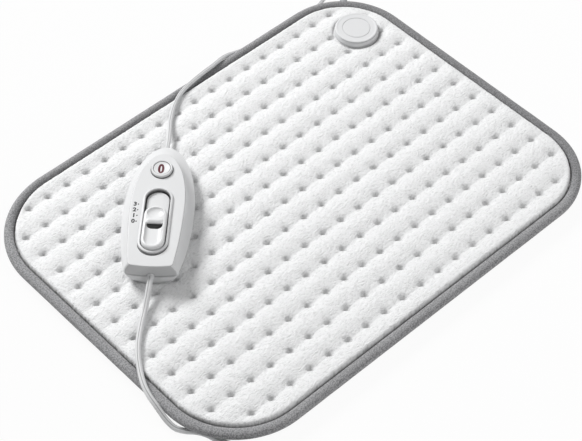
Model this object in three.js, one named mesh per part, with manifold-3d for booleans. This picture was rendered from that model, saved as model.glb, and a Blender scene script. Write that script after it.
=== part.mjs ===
// Heating pad with a hand-held controller. A quilted fleece pad with a bound edge holds a
// heating wire, a round junction cap sits in one corner, and the controller that lies on the
// pad has a slide switch with four places and a round off button.
// Millimetres, +Z up from the surface that the pad lies on. The origin is under the pad's
// centre, +X runs along its long side and +Y towards the side that the pad lead crosses.
import * as THREE from "three";
import { mergeVertices } from "three/addons/utils/BufferGeometryUtils.js";
import Module from "manifold-3d";

const wasm = await Module();
wasm.setup();

// Clearances
const seatGap = 0.3;
const cutOverrun = 5;

// Rounding of a small moulded edge, as a share of its size
const edgeRoundShare = 0.3;

// Pad outline and the tape that binds its edge
const padLength = 440;
const padWidth = 330;
const padCornerRadius = 73;
const bindingWidth = 9;
const bindingHeight = 8;
const bindingWall = 1.5;
const bindingRise = 1;
const tongueThickness = 1.7;
const bindingRoundness = 2.6;
const cornerSteps = 6;

// Layers of the pad, from the floor up
const bottomCoverThickness = 1.8;
const bottomSkirtWidth = 14.4;
const waddingThickness = 3.1;
const waddingEdgeBevel = 1;
const carrierThickness = 0.8;
const carrierInset = 20;
const wireDiameter = 1.6;
const fleeceThickness = 2;
const fleeceRimWidth = 7;

// Quilting of the fleece
const dimplePitchX = 20.5;
const dimplePitchY = 23.3;
const dimpleDepth = 4;
const quiltMargin = 25;
const saddleShare = 0.78;
const fleeceEdgeShare = 0.88;

// Heating wire, a serpentine between the rows of dimples
const wireTurnInset = 42;
const wireReturnInset = 24;
const wireDiscClearance = 15;
const wireBendReach = 10;
const wireReturnReach = 15;
const wireStartPort = 120;
const wireReturnPort = 5;

// Junction cap and what is under it
const junctionInsetX = 43;
const junctionInsetY = 57.7;
const junctionRadius = 21.7;
const junctionTopRadius = 19.2;
const junctionHeight = 6;
const junctionSkirtHeight = 1.8;
const junctionWall = 1.6;
const junctionEdge = 0.7;
const junctionSink = 0.7;
const capRingRadius = 12.4;
const capRingHalfWidth = 0.6;
const capRingDepth = 0.3;
const basePlateThickness = 1.6;
const spigotWall = 1.9;
const stemRadius = 4.4;
const clampPlateRadius = 13;
const clampMouthFrom = 335;
const clampMouthTo = 150;
const terminalLength = 17;
const terminalWidth = 9;
const terminalScrewRadius = 1.8;
const terminalScrewDepth = 0.9;
const thermalFuseRadius = 1.1;
const thermalFuseLength = 11;
const conductorDiameter = 1.5;
const conductorSpread = 16;

// Gland where the pad lead enters the far corner
const glandAngle = 46.5;
const glandNeckRadius = 2.3;
const glandNeckLength = 17;
const glandBootRadius = 3.7;
const glandTipRadius = 2.5;
const glandCollarLength = 3;
const glandBootLength = 10;
const glandTunnelLength = 24;

// Controller: place on the pad and outline of its housing
const controllerFromSideX = 69.97;
const controllerFromSideY = 173.6;
const controllerTurn = -45.6;
const shellHalfWidth = 29.7;
const widestBeforeWellEnd = 15.3;
const frontReachSpare = 28.7;
const partingHeight = 10.7;
const shellHeight = 22.9;
const topInset = 6.4;
const topNoseSetback = 17.6;
const topFrontReachSpare = 23.6;
const topEdgeRadius = 1.1;
const coveCurve = 1.8;
const bowlCurve = 2.3;
const bowlFootShare = 0.42;
const frontBow = 1.7;
const frontCornerRadius = 4.5;
const shellWall = 2;

// Well with its raised collar, and the slide knob in it
const wellFrontY = 15;
const wellHalfWidth = 10.4;
const wellDepth = 3.2;
const wellFloorThickness = 1.8;
const wellWall = 1.6;
const collarRise = 2;
const collarCrest = 1;
const collarSlope = 1.9;
const collarLip = 0.4;
const collarWidthShares = [1, 0.35, 0];
const collarRiseShares = [0, 0.55, 0.9];
const knobLength = 47;
const knobHeight = 8.2;
const knobEdge = 2.2;
const knobEdgeShares = [0, 0.13, 0.5, 1];
const knobBackRake = 1.6;
const knobTravel = 18.4;
const knobEndPlay = 0.6;
const knobStemWidth = 4.4;
const knobStemLength = 14;
const troughHalfWidth = 7.3;
const troughDepth = 4.2;
const troughRim = 2.6;
const troughEndFromTail = 26.2;
const troughEndSlope = 1.8;
const troughWidthShares = [1, 1, 0.92, 0.7, 0.4];
const troughDepthShares = [-1, 0, 0.5, 0.88, 1];
const ridgeRadius = 2.5;
const ridgeHalfLength = 7;
const ridgeRise = 1;
const scoopHalfWidth = 7;
const scoopHalfLength = 5.5;
const scoopDepth = 2;

// Slide switch below the well
const carriageThickness = 3.2;
const carriageFloor = 1;
const carriageHalfWidth = 7.5;
const carriageLength = 26;
const switchTabHalfWidth = 1.2;
const switchTabLength = 8;
const switchFloor = 1.2;
const wiperSheet = 0.4;
const switchHousingHalfWidth = 6;
const switchHousingWall = 2;
const switchChannelHalfWidth = 3.2;

// Off button
const buttonFromWell = 14.3;
const buttonRadius = 8.8;
const noseFromButton = 26.8;
const buttonHoleGap = 0.5;
const buttonProud = 1.9;
const buttonDish = 1;
const buttonEdge = 0.8;
const buttonDishSteps = 3;
const buttonTravel = 1.2;
const buttonFlangeWidth = 1.6;
const buttonFlangeThickness = 1.5;
const buttonStemRadius = 2.2;
const springRadius = 5.2;
const springWireRadius = 0.45;
const springTurns = 4;
const tactWidth = 6;
const tactHeight = 3.5;
const tactPlungerRadius = 1.7;
const tactPlungerHeight = 0.8;

// Circuit board and its parts
const boardHeight = 6;
const boardThickness = 1.6;
const boardReliefGap = 3;
const boardLeadGap = 1.7;
const boardSideInset = 12.7;
const boardTaper = 9;
const boardPostRadius = 2.5;
const boardPostX = 12;
const boardPostInset = 10;
const capacitorLength = 13;
const capacitorWidth = 6;
const capacitorWellGap = 1;
const capacitorX = 7;
const capacitorFromWellEnd = 6.7;
const resistorRadius = 2;
const resistorLength = 12;
const resistorX = 12;
const resistorFromWellFront = 21;
const fuseRadius = 1.9;
const fuseLength = 15;
const fuseCapLength = 3;
const fuseCapRise = 0.5;
const fuseX = -12;
const fuseFromWellFront = 23;
const triacLength = 10;
const triacWidth = 4.5;
const triacRoofGap = 2;
const triacTabHeight = 3;
const triacTabThickness = 1.3;
const triacX = -8;
const triacFromWellEnd = 6.7;

// Screws that hold the two shells together
const screwFrontX = 14.5;
const screwFrontY = 10.5;
const screwNoseX = 12;
const screwNoseInset = 26;
const screwHeadRadius = 2.6;
const screwHeadHeight = 1.8;
const screwHeadSeat = 4.2;
const screwShankRadius = 1.3;
const screwReach = 4.6;
const screwBossWall = 1.8;

// Strain reliefs in the two ends of the housing
const mainsReliefRadius = 3;
const mainsReliefTip = 1.4;
const mainsReliefInside = 18;
const mainsFlangeDepth = 2.3;
const leadExitHeight = 7.4;
const leadReliefRadius = 2.2;
const leadReliefTip = 0.5;
const leadReliefInside = 28;
const leadFlangeDepth = 20;
const reliefFlangeRise = 0.8;
const reliefFlangeThickness = 1.8;
const reliefTaperShare = 0.82;

// Leads, coil and plug
const mainsLeadDiameter = 4.8;
const padLeadDiameter = 3.8;
const coilX = -232;
const coilY = -177;
const coilInnerRadius = 19.4;
const coilPitch = 5.3;
const coilLayerPitch = 5.3;
const coilTurns = 8;
const coilStepsPerTurn = 24;
const coilClimbTurns = 0.5;
const leadSides = 8;
const leadMostSteps = 70;
const leadStepShare = 1.3;
const tieThickness = 0.6;
const tieWidth = 10;
const tieClearance = 0.5;
const tieAngle = 180;
const plugReliefX = -225;
const plugReliefY = -229.2;
const plugReliefLength = 24;
const plugReliefRadius = 4;
const plugReliefTipRadius = 3;
const plugLength = 36;
const plugWidth = 35.3;
const plugHeight = 13.7;
const plugNeckWidth = 12;
const plugNeckHeight = 10;
const plugRoundShare = 0.28;
const plugLengthShares = [0, 0.2, 0.42, 0.62, 1];
const plugWidthShares = [0, 0.12, 0.45, 1, 1];
const plugHeightShares = [0, 0, 1, 1, 1];
const plugPinRadius = 2;
const plugPinLength = 19;
const plugPinSpacing = 18.6;

// Routes of the free leads. Each list runs between the two places that the lead meets.
const mainsLeadRoute = [
  [-156.3, 2.7, 25],
  [-164.2, -3.8, 21.6],
  [-173, -10.8, 18.4],
  [-182.8, -18.7, 17.4],
  [-199.3, -34.3, 17.4],
  [-210.2, -49, 17],
  [-218.6, -64.5, 17],
  [-221.8, -74.3, 16.6],
  [-223, -82.5, 15],
  [-223.4, -90, 11.5],
  [-223.2, -97.5, 7.2],
  [-221.5, -104.8, 3.9],
  [-217.1, -111.2, 2.8],
  [-211.1, -117.8, 2.8],
  [-206.9, -125.6, 2.8],
  [-204.5, -134.1, 2.8],
  [-200.6, -142.2, 2.8],
  [-196, -150, 2.9],
  [-192.7, -158.6, 3.1],
];
const padLeadRoute = [
  [-44.6, 111.6, 21.8],
  [-35.6, 120.8, 20.2],
  [-26.6, 130.6, 18.4],
  [-18.5, 138.6, 17.2],
  [-7, 147.5, 17],
  [4.5, 153.8, 17],
  [15.5, 157.4, 17],
  [27.8, 159.6, 16.8],
  [38.9, 161.2, 16.4],
  [48.8, 162.2, 16],
  [57.5, 163.8, 15.2],
  [65.5, 165.6, 13.7],
  [73, 167, 11],
  [81, 167.9, 7.4],
  [90, 168.4, 4.2],
  [101, 168.3, 2.5],
  [118, 168.1, 2.3],
  [137, 168.1, 2.3],
  [155, 167.7, 2.3],
  [170.4, 165.6, 2.3],
  [182.8, 165.1, 2.7],
  [192.5, 167.1, 4],
  [200.6, 168, 5.8],
  [207.1, 165.9, 7.6],
  [210, 160.6, 8.9],
];
const tailRoute = [
  [-191.4, -188.5, 8.4],
  [-191.4, -195.5, 7.2],
  [-191.9, -202.4, 5],
  [-193.7, -209.4, 3.4],
  [-197.6, -216.6, 2.8],
  [-203.8, -223, 3.2],
  [-211.6, -227.3, 4.9],
  [-219, -229, 6.5],
];

// Heights and places that follow from the sizes above
const up = new THREE.Vector3(0, 0, 1);
const waddingBase = bottomCoverThickness + seatGap;
const carrierBase = waddingBase + waddingThickness + seatGap;
const wireBase = carrierBase + carrierThickness + seatGap;
const wireZ = wireBase + wireDiameter / 2;
const fleeceBase = wireBase + wireDiameter + seatGap;
const dimpleZ = fleeceBase + fleeceThickness;
const ridgeZ = dimpleZ + dimpleDepth;
const bindingZ = fleeceBase + bindingRise;
const upperTongueBase = bindingZ + seatGap / 2;
const lowerTongueBase = bindingZ - seatGap / 2 - tongueThickness;
const channelHalfHeight = tongueThickness + seatGap * 1.5;
const tongueInset = bindingWall + seatGap;
const coverInset = bindingWidth + seatGap;
const skirtInset = coverInset + seatGap + bottomSkirtWidth;
const waddingInset = skirtInset + seatGap + waddingEdgeBevel;
const fleeceFlatInset = coverInset + fleeceRimWidth;
const dimpleColumns = Math.round((padLength - 2 * quiltMargin) / dimplePitchX) + 1;
const dimpleRows = Math.round((padWidth - 2 * quiltMargin) / dimplePitchY) + 1;
const junctionX = padLength / 2 - junctionInsetX;
const junctionY = padWidth / 2 - junctionInsetY;
const junctionBase = ridgeZ - junctionSink;
const spigotBore = stemRadius + seatGap;
const spigotRadius = spigotBore + spigotWall;
const tunnelRadius = glandNeckRadius + seatGap;
const controllerX = -padLength / 2 + controllerFromSideX;
const controllerY = -padWidth / 2 + controllerFromSideY;
const controllerZ = ridgeZ + seatGap;
const collarHeight = shellHeight + collarRise;
const wellEndY = wellFrontY + seatGap + knobLength + knobTravel + knobEndPlay;
const buttonY = wellEndY + buttonFromWell + buttonRadius;
const shellLength = buttonY + buttonRadius + noseFromButton;
const shellWidestY = wellEndY - widestBeforeWellEnd;
const noseReach = shellLength - shellWidestY;
const shellFrontReach = shellWidestY + frontReachSpare;
const topFrontReach = shellWidestY + topFrontReachSpare;
const knobFrontY = wellFrontY + seatGap;
const wellFloorHeight = shellHeight - wellDepth;
const knobBase = wellFloorHeight + seatGap;
const knobMiddleY = knobFrontY + knobLength / 2;
const knobTop = knobBase + knobHeight;
const wellUnderside = wellFloorHeight - wellFloorThickness;
const carriageTop = wellUnderside - seatGap;
const carriageBase = carriageTop - carriageThickness;
const boardTop = boardHeight + boardThickness;
const boardFrontY = mainsReliefInside + boardReliefGap;
const boardNoseY = shellLength - leadReliefInside - boardLeadGap;
const boardHalfWidth = shellHalfWidth - boardSideInset;
const partsBase = boardTop + seatGap;
const channelFloor = partsBase + switchFloor;
const tabBase = channelFloor + wiperSheet + 2 * seatGap;
const roofHeight = shellHeight - shellWall;
const flangeTop = roofHeight - seatGap;
const flangeBase = flangeTop - buttonFlangeThickness;
const tactTop = partsBase + tactHeight + tactPlungerHeight;
const coilOuterRadius = coilInnerRadius + (coilTurns / 2) * coilPitch;
const coilBaseZ = tieThickness + seatGap + mainsLeadDiameter / 2;
const coilTopZ = coilBaseZ + coilLayerPitch;

const degrees = Math.PI / 180;

// A three.js geometry as a solid, and a solid as a geometry
function solid(geometry) {
  const bare = geometry.index ? geometry.toNonIndexed() : geometry.clone();
  bare.deleteAttribute("normal");
  bare.deleteAttribute("uv");
  const merged = mergeVertices(bare);
  return new wasm.Manifold(
    new wasm.Mesh({
      numProp: 3,
      vertProperties: new Float32Array(merged.attributes.position.array),
      triVerts: new Uint32Array(merged.index.array),
    }),
  );
}

function geometryOf(body) {
  const mesh = body.getMesh();
  const geometry = new THREE.BufferGeometry();
  geometry.setAttribute(
    "position",
    new THREE.BufferAttribute(new Float32Array(mesh.vertProperties), 3),
  );
  geometry.setIndex(new THREE.BufferAttribute(new Uint32Array(mesh.triVerts), 1));
  geometry.computeVertexNormals();
  return geometry;
}

function cut(body, ...tools) {
  return tools.reduce((left, tool) => left.subtract(solid(tool)), body);
}

function join(body, ...additions) {
  return additions.reduce((whole, addition) => whole.add(solid(addition)), body);
}

// A closed skin over rings of equal count, each running anticlockwise about the way to the
// next. A loft is capped by a fan at both ends, and a loop runs back into its first ring.
function skin(rings, isLoop) {
  const count = rings[0].length;
  const points = rings.flat();
  const faces = [];
  const spans = isLoop ? rings.length : rings.length - 1;
  for (let i = 0; i < spans; i++) {
    const here = i * count;
    const next = ((i + 1) % rings.length) * count;
    for (let j = 0; j < count; j++) {
      const k = (j + 1) % count;
      faces.push(here + j, here + k, next + k);
      faces.push(here + j, next + k, next + j);
    }
  }
  if (!isLoop) {
    const first = points.length;
    const lastRing = (rings.length - 1) * count;
    points.push(middleOf(rings[0]), middleOf(rings[rings.length - 1]));
    for (let j = 0; j < count; j++) {
      const k = (j + 1) % count;
      faces.push(first, k, j);
      faces.push(first + 1, lastRing + j, lastRing + k);
    }
  }
  const geometry = new THREE.BufferGeometry().setFromPoints(points);
  geometry.setIndex(faces);
  return geometry;
}

function middleOf(ring) {
  const sum = new THREE.Vector3();
  for (const point of ring) sum.add(point);
  return sum.divideScalar(ring.length);
}

function loft(rings) {
  return skin(rings, false);
}

// A tube of rings along a list of points, square to the path at both ends
function tube(points, radius, sides) {
  const across = new THREE.Vector3();
  const rings = points.map((point, i) => {
    const before = points[Math.max(i - 1, 0)];
    const after = points[Math.min(i + 1, points.length - 1)];
    const along = after.clone().sub(before).normalize();
    if (i === 0) across.crossVectors(along, up);
    across.addScaledVector(along, -across.dot(along)).normalize();
    const over = new THREE.Vector3().crossVectors(along, across);
    return Array.from({ length: sides }, (_, k) => {
      const angle = (2 * Math.PI * k) / sides;
      return point
        .clone()
        .addScaledVector(across, radius * Math.cos(angle))
        .addScaledVector(over, radius * Math.sin(angle));
    });
  });
  return loft(rings);
}

// A free lead: an extruded round section along a smooth curve through the route
function lead(points, diameter) {
  const curve = new THREE.CatmullRomCurve3(points, false, "centripetal");
  const wanted = Math.ceil(curve.getLength() / (diameter * leadStepShare));
  const steps = Math.min(leadMostSteps, wanted);
  const section = new THREE.Shape(
    Array.from({ length: leadSides }, (_, k) => {
      const angle = (2 * Math.PI * k) / leadSides;
      const radius = diameter / 2;
      return new THREE.Vector2(radius * Math.cos(angle), radius * Math.sin(angle));
    }),
  );
  return new THREE.ExtrudeGeometry(section, {
    steps,
    extrudePath: curve,
    bevelEnabled: false,
  });
}

// A turned piece about Z, from a profile of radius and height that rises on its outside
function turned(profile, segments) {
  const geometry = new THREE.LatheGeometry(
    profile.map(([radius, height]) => new THREE.Vector2(radius, height)),
    segments,
  );
  return geometry.rotateX(Math.PI / 2);
}

function rod(radius, bottom, top, x, y, segments) {
  return new THREE.CylinderGeometry(radius, radius, top - bottom, segments)
    .rotateX(Math.PI / 2)
    .translate(x, y, (bottom + top) / 2);
}

function block(left, right, front, back, bottom, top) {
  return new THREE.BoxGeometry(right - left, back - front, top - bottom).translate(
    (left + right) / 2,
    (front + back) / 2,
    (bottom + top) / 2,
  );
}

// Stations round the pad's rim: the centre of each corner's arc and the way outwards
const rimStations = [];
for (let corner = 0; corner < 4; corner++) {
  const sideX = corner === 0 || corner === 3 ? 1 : -1;
  const sideY = corner < 2 ? 1 : -1;
  for (let step = 0; step <= cornerSteps; step++) {
    const angle = (corner + step / cornerSteps) * 90 * degrees;
    rimStations.push({
      centre: new THREE.Vector3(
        sideX * (padLength / 2 - padCornerRadius),
        sideY * (padWidth / 2 - padCornerRadius),
        0,
      ),
      outward: new THREE.Vector3(Math.cos(angle), Math.sin(angle), 0),
    });
  }
}

function rimPoint(station, inset, z) {
  return station.centre
    .clone()
    .addScaledVector(station.outward, padCornerRadius - inset)
    .setZ(z);
}

function rimRing(inset, z) {
  return rimStations.map((station) => rimPoint(station, inset, z));
}

function padPlate(inset, bottom, top) {
  return loft([rimRing(inset, bottom), rimRing(inset, top)]);
}

// How far a place on the pad lies inside its outline
function insetOf(x, y) {
  const overX = Math.abs(x) - (padLength / 2 - padCornerRadius);
  const overY = Math.abs(y) - (padWidth / 2 - padCornerRadius);
  if (overX > 0 && overY > 0) return padCornerRadius - Math.hypot(overX, overY);
  return padCornerRadius - Math.max(overX, overY);
}

// The gland's tunnel through the far corner, and a turned piece laid along it
const glandDirection = new THREE.Vector3(
  Math.cos(glandAngle * degrees),
  Math.sin(glandAngle * degrees),
  0,
);
const glandCentre = new THREE.Vector3(
  padLength / 2 - padCornerRadius,
  padWidth / 2 - padCornerRadius,
  bindingZ,
);

function alongGland(geometry) {
  const turn = new THREE.Quaternion().setFromUnitVectors(up, glandDirection);
  return geometry.applyQuaternion(turn).translate(...glandCentre);
}

function glandPoint(inset) {
  return glandCentre.clone().addScaledVector(glandDirection, padCornerRadius - inset);
}

function glandTunnel() {
  const from = padCornerRadius - glandTunnelLength;
  return alongGland(rod(tunnelRadius, from, padCornerRadius + cutOverrun, 0, 0, 12));
}

// Lines of the quilting at half pitches, with one more at each edge. The dimples lie where
// two lines of odd number cross.
function quiltLines(count, pitch, reach) {
  const inner = Array.from(
    { length: 2 * count - 1 },
    (_, i) => ((i - (count - 1)) * pitch) / 2,
  );
  return [-reach, ...inner, reach];
}

// Fleece cover: a fan of six faces falls into each dimple from the ridges between them
function quiltedBlock(bottom) {
  const columns = quiltLines(dimpleColumns, dimplePitchX, padLength / 2 - coverInset);
  const rows = quiltLines(dimpleRows, dimplePitchY, padWidth / 2 - coverInset);
  const lastColumn = columns.length - 1;
  const lastRow = rows.length - 1;
  const heightAt = (i, j) => {
    if (i === 0 || j === 0 || i === lastColumn || j === lastRow) {
      return dimpleZ + fleeceEdgeShare * dimpleDepth;
    }
    const isSewn = i % 2 === 1 && j % 2 === 1 && insetOf(columns[i], rows[j]) > quiltMargin / 2;
    if (isSewn) return dimpleZ;
    return i % 2 === 0 && j % 2 === 0 ? ridgeZ : dimpleZ + saddleShare * dimpleDepth;
  };
  const points = rows.flatMap((y, j) =>
    columns.map((x, i) => new THREE.Vector3(x, y, heightAt(i, j))),
  );
  const place = (i, j) => j * columns.length + i;
  const faces = [];
  for (let j = 1; j < lastRow; j += 2) {
    for (let i = 1; i < lastColumn; i += 2) {
      const around = [
        place(i - 1, j),
        place(i - 1, j - 1),
        place(i + 1, j - 1),
        place(i + 1, j),
        place(i + 1, j + 1),
        place(i - 1, j + 1),
      ];
      around.forEach((corner, k) => {
        faces.push(place(i, j), corner, around[(k + 1) % around.length]);
      });
    }
  }
  const border = [];
  for (let i = 0; i < lastColumn; i += 2) border.push(place(i, 0));
  for (let j = 0; j < lastRow; j++) border.push(place(lastColumn, j));
  for (let i = lastColumn; i > 0; i -= 2) border.push(place(i, lastRow));
  for (let j = lastRow; j > 0; j--) border.push(place(0, j));
  const firstLow = points.length;
  for (const index of border) points.push(points[index].clone().setZ(bottom));
  const middle = points.length;
  points.push(new THREE.Vector3(0, 0, bottom));
  border.forEach((high, k) => {
    const next = (k + 1) % border.length;
    faces.push(firstLow + k, firstLow + next, border[next]);
    faces.push(firstLow + k, border[next], high);
    faces.push(middle, firstLow + next, firstLow + k);
  });
  const geometry = new THREE.BufferGeometry().setFromPoints(points);
  geometry.setIndex(faces);
  return geometry;
}

function fleeceTopCover() {
  const crown = solid(quiltedBlock(upperTongueBase)).intersect(
    solid(padPlate(coverInset, fleeceBase, ridgeZ + cutOverrun)),
  );
  const tongueTop = upperTongueBase + tongueThickness;
  const tongue = skin(
    rimStations.map((station) => [
      rimPoint(station, tongueInset, tongueTop),
      rimPoint(station, tongueInset, upperTongueBase),
      rimPoint(station, fleeceFlatInset, upperTongueBase),
      rimPoint(station, fleeceFlatInset, tongueTop),
    ]),
    true,
  );
  const underside = padPlate(fleeceFlatInset, fleeceBase, dimpleZ - seatGap);
  const seatRadius = junctionRadius + seatGap;
  const seatZ = junctionBase - seatGap;
  return cut(
    join(crown, tongue, underside),
    rod(seatRadius, seatZ, ridgeZ + cutOverrun, junctionX, junctionY, 20),
    rod(spigotRadius + seatGap, 0, ridgeZ, junctionX, junctionY, 12),
    glandTunnel(),
  );
}

// Edge binding: folded tape of a soft square section with a channel for both covers
function edgeBinding() {
  const outerSteps = 8;
  const half = bindingHeight / 2;
  const rounded = (value) => Math.sign(value) * Math.abs(value) ** (2 / bindingRoundness);
  const rings = rimStations.map((station) => {
    const ring = [];
    for (let i = 0; i <= outerSteps; i++) {
      const angle = (0.5 - i / outerSteps) * Math.PI;
      const inset = bindingWidth - bindingWidth * rounded(Math.cos(angle));
      const rise = i === 0 || i === outerSteps ? Math.sign(angle) : rounded(Math.sin(angle));
      ring.push(rimPoint(station, inset, bindingZ + half * rise));
    }
    ring.push(rimPoint(station, bindingWidth, bindingZ - channelHalfHeight));
    ring.push(rimPoint(station, bindingWall, bindingZ - channelHalfHeight));
    ring.push(rimPoint(station, bindingWall, bindingZ + channelHalfHeight));
    ring.push(rimPoint(station, bindingWidth, bindingZ + channelHalfHeight));
    return ring;
  });
  return cut(solid(skin(rings, true)), glandTunnel());
}

// Bottom cover: flat on the floor, with a skirt that curves up into the binding
function skirtRise(inset) {
  const share = Math.max((skirtInset - inset) / bottomSkirtWidth, 0);
  return lowerTongueBase * (0.5 - 0.5 * Math.cos(Math.PI * Math.min(share, 1)));
}

function bottomCover() {
  const insets = [0, 1 / 3, 2 / 3, 1].map((share) => skirtInset - share * bottomSkirtWidth);
  const under = insets.map((inset) => rimRing(inset, skirtRise(inset)));
  under.push(rimRing(tongueInset, lowerTongueBase));
  const over = insets.map((inset, i) => {
    const thickness = i === insets.length - 1 ? tongueThickness : bottomCoverThickness;
    return rimRing(inset, skirtRise(inset) + thickness);
  });
  over.push(rimRing(tongueInset, lowerTongueBase + tongueThickness));
  return cut(solid(loft([...under, ...over.reverse()])), glandTunnel());
}

function waddingLayer() {
  const top = waddingBase + waddingThickness;
  return loft([
    rimRing(waddingInset, waddingBase),
    rimRing(waddingInset - waddingEdgeBevel, waddingBase + waddingEdgeBevel),
    rimRing(waddingInset - waddingEdgeBevel, top - waddingEdgeBevel),
    rimRing(waddingInset, top),
  ]);
}

// Heating wire: runs between the rows of dimples, and one return run along the side
function heatingWire() {
  const runs = 2 * Math.floor((dimpleRows - 1) / 2);
  const runY = (k) => ((runs - 1) / 2 - k) * dimplePitchY;
  const turnRadius = dimplePitchY / 2;
  const farX = padLength / 2 - wireTurnInset;
  const discX = junctionX - junctionRadius - wireDiscClearance;
  const nearDisc = (k) => Math.abs(runY(k) - junctionY) < junctionRadius + turnRadius / 2;
  const rightX = (k) => (nearDisc(k) || nearDisc(k - 1) ? discX : farX);
  const points = [
    junctionPort(wireStartPort, 0),
    junctionPort(wireStartPort, clampPlateRadius),
    new THREE.Vector3(discX + wireBendReach, runY(0), wireZ),
  ];
  const bend = (x, y, side) => {
    for (let step = 0; step <= 4; step++) {
      const angle = (90 - 45 * step) * degrees;
      points.push(
        new THREE.Vector3(
          x + side * turnRadius * Math.cos(angle),
          y - turnRadius + turnRadius * Math.sin(angle),
          wireZ,
        ),
      );
    }
  };
  for (let k = 0; k + 1 < runs; k++) {
    if (k % 2 === 0) bend(-farX, runY(k), -1);
    else bend(rightX(k + 1), runY(k), 1);
  }
  const lastY = runY(runs - 1);
  const returnX = padLength / 2 - wireReturnInset;
  points.push(new THREE.Vector3(farX, lastY, wireZ));
  points.push(new THREE.Vector3(returnX - wireBendReach, lastY, wireZ));
  points.push(new THREE.Vector3(returnX, lastY + wireBendReach, wireZ));
  points.push(new THREE.Vector3(returnX, junctionY - wireReturnReach, wireZ));
  points.push(junctionPort(wireReturnPort, clampPlateRadius));
  points.push(junctionPort(wireReturnPort, 0));
  return tube(points, wireDiameter / 2, 6);
}

// A place beside the terminal stem, at an angle about it and so far out from its face
function junctionPort(angle, reach) {
  const radius = stemRadius + seatGap + reach;
  return new THREE.Vector3(
    junctionX + radius * Math.cos(angle * degrees),
    junctionY + radius * Math.sin(angle * degrees),
    wireZ,
  );
}

function junctionCap() {
  const top = junctionBase + junctionHeight;
  const roof = top - junctionWall;
  const bore = junctionRadius - junctionWall;
  const ringOut = capRingRadius + capRingHalfWidth;
  const ringIn = capRingRadius - capRingHalfWidth;
  return turned(
    [
      [0, roof],
      [junctionTopRadius - junctionWall - junctionEdge, roof],
      [bore, junctionBase + basePlateThickness + seatGap],
      [bore, junctionBase],
      [junctionRadius, junctionBase],
      [junctionRadius, junctionBase + junctionSkirtHeight],
      [junctionTopRadius, top - junctionEdge],
      [junctionTopRadius - junctionEdge, top],
      [ringOut, top],
      [ringOut - capRingDepth, top - capRingDepth],
      [ringIn + capRingDepth, top - capRingDepth],
      [ringIn, top],
      [0, top],
    ],
    32,
  ).translate(junctionX, junctionY, 0);
}

function junctionBasePlate() {
  const radius = junctionRadius - junctionWall - seatGap;
  return turned(
    [
      [spigotBore, junctionBase + basePlateThickness],
      [spigotBore, fleeceBase],
      [spigotRadius, fleeceBase],
      [spigotRadius, junctionBase],
      [radius, junctionBase],
      [radius, junctionBase + basePlateThickness],
      [spigotBore, junctionBase + basePlateThickness],
    ],
    24,
  ).translate(junctionX, junctionY, 0);
}

// Clamp plate under the fleece: a ring with a mouth that the wires come in through
function junctionClampPlate() {
  const shape = new THREE.Shape();
  const from = clampMouthTo * degrees;
  const to = clampMouthFrom * degrees;
  shape.absarc(0, 0, clampPlateRadius, from, to, false);
  shape.absarc(0, 0, spigotBore, to, from, true);
  return new THREE.ExtrudeGeometry(shape, {
    depth: wireDiameter,
    bevelEnabled: false,
    curveSegments: 12,
  }).translate(junctionX, junctionY, wireBase);
}

function terminalBlock() {
  const base = junctionBase + basePlateThickness + seatGap;
  const top = junctionBase + junctionHeight - junctionWall - seatGap;
  const body = solid(
    block(
      junctionX - terminalLength / 2,
      junctionX + terminalLength / 2,
      junctionY - terminalWidth / 2,
      junctionY + terminalWidth / 2,
      base,
      top,
    ),
  );
  const stem = rod(stemRadius, wireBase, top, junctionX, junctionY, 16);
  const screws = [-1, 0, 1].map((side) =>
    rod(
      terminalScrewRadius,
      top - terminalScrewDepth,
      top + cutOverrun,
      junctionX + (side * terminalLength) / 3,
      junctionY,
      10,
    ),
  );
  return cut(join(body, stem), ...screws);
}

function thermalFuse() {
  const base = junctionBase + basePlateThickness + seatGap;
  return rod(thermalFuseRadius, -thermalFuseLength / 2, thermalFuseLength / 2, 0, 0, 10)
    .rotateY(Math.PI / 2)
    .translate(
      junctionX,
      junctionY + terminalWidth / 2 + seatGap + thermalFuseRadius,
      base + thermalFuseRadius,
    );
}

// The lead's two conductors, from the gland's inner end down to the terminal stem
function leadConductor(side) {
  const inner = glandPoint(glandNeckLength + seatGap);
  const towards = new THREE.Vector3(junctionX, junctionY, bindingZ).sub(inner);
  const middleAngle = Math.atan2(-towards.y, -towards.x) / degrees;
  const aside = new THREE.Vector3(-glandDirection.y, glandDirection.x, 0);
  const spacing = (side * (conductorDiameter + seatGap)) / 2;
  const start = inner.clone().addScaledVector(aside, spacing);
  const straight = start.clone().addScaledVector(glandDirection, -conductorDiameter);
  const low = glandPoint(glandTunnelLength - conductorDiameter)
    .addScaledVector(aside, spacing)
    .setZ(wireZ);
  const port = middleAngle + side * conductorSpread;
  const path = [start, straight, low, junctionPort(port, clampPlateRadius / 2), junctionPort(port, 0)];
  return tube(path, conductorDiameter / 2, 6);
}

function padLeadGland() {
  const face = padCornerRadius + seatGap;
  return alongGland(
    turned(
      [
        [0, padCornerRadius - glandNeckLength],
        [glandNeckRadius, padCornerRadius - glandNeckLength],
        [glandNeckRadius, face],
        [glandBootRadius, face],
        [glandBootRadius, face + glandCollarLength],
        [glandTipRadius, face + glandBootLength],
        [0, face + glandBootLength],
      ],
      14,
    ),
  );
}

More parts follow.
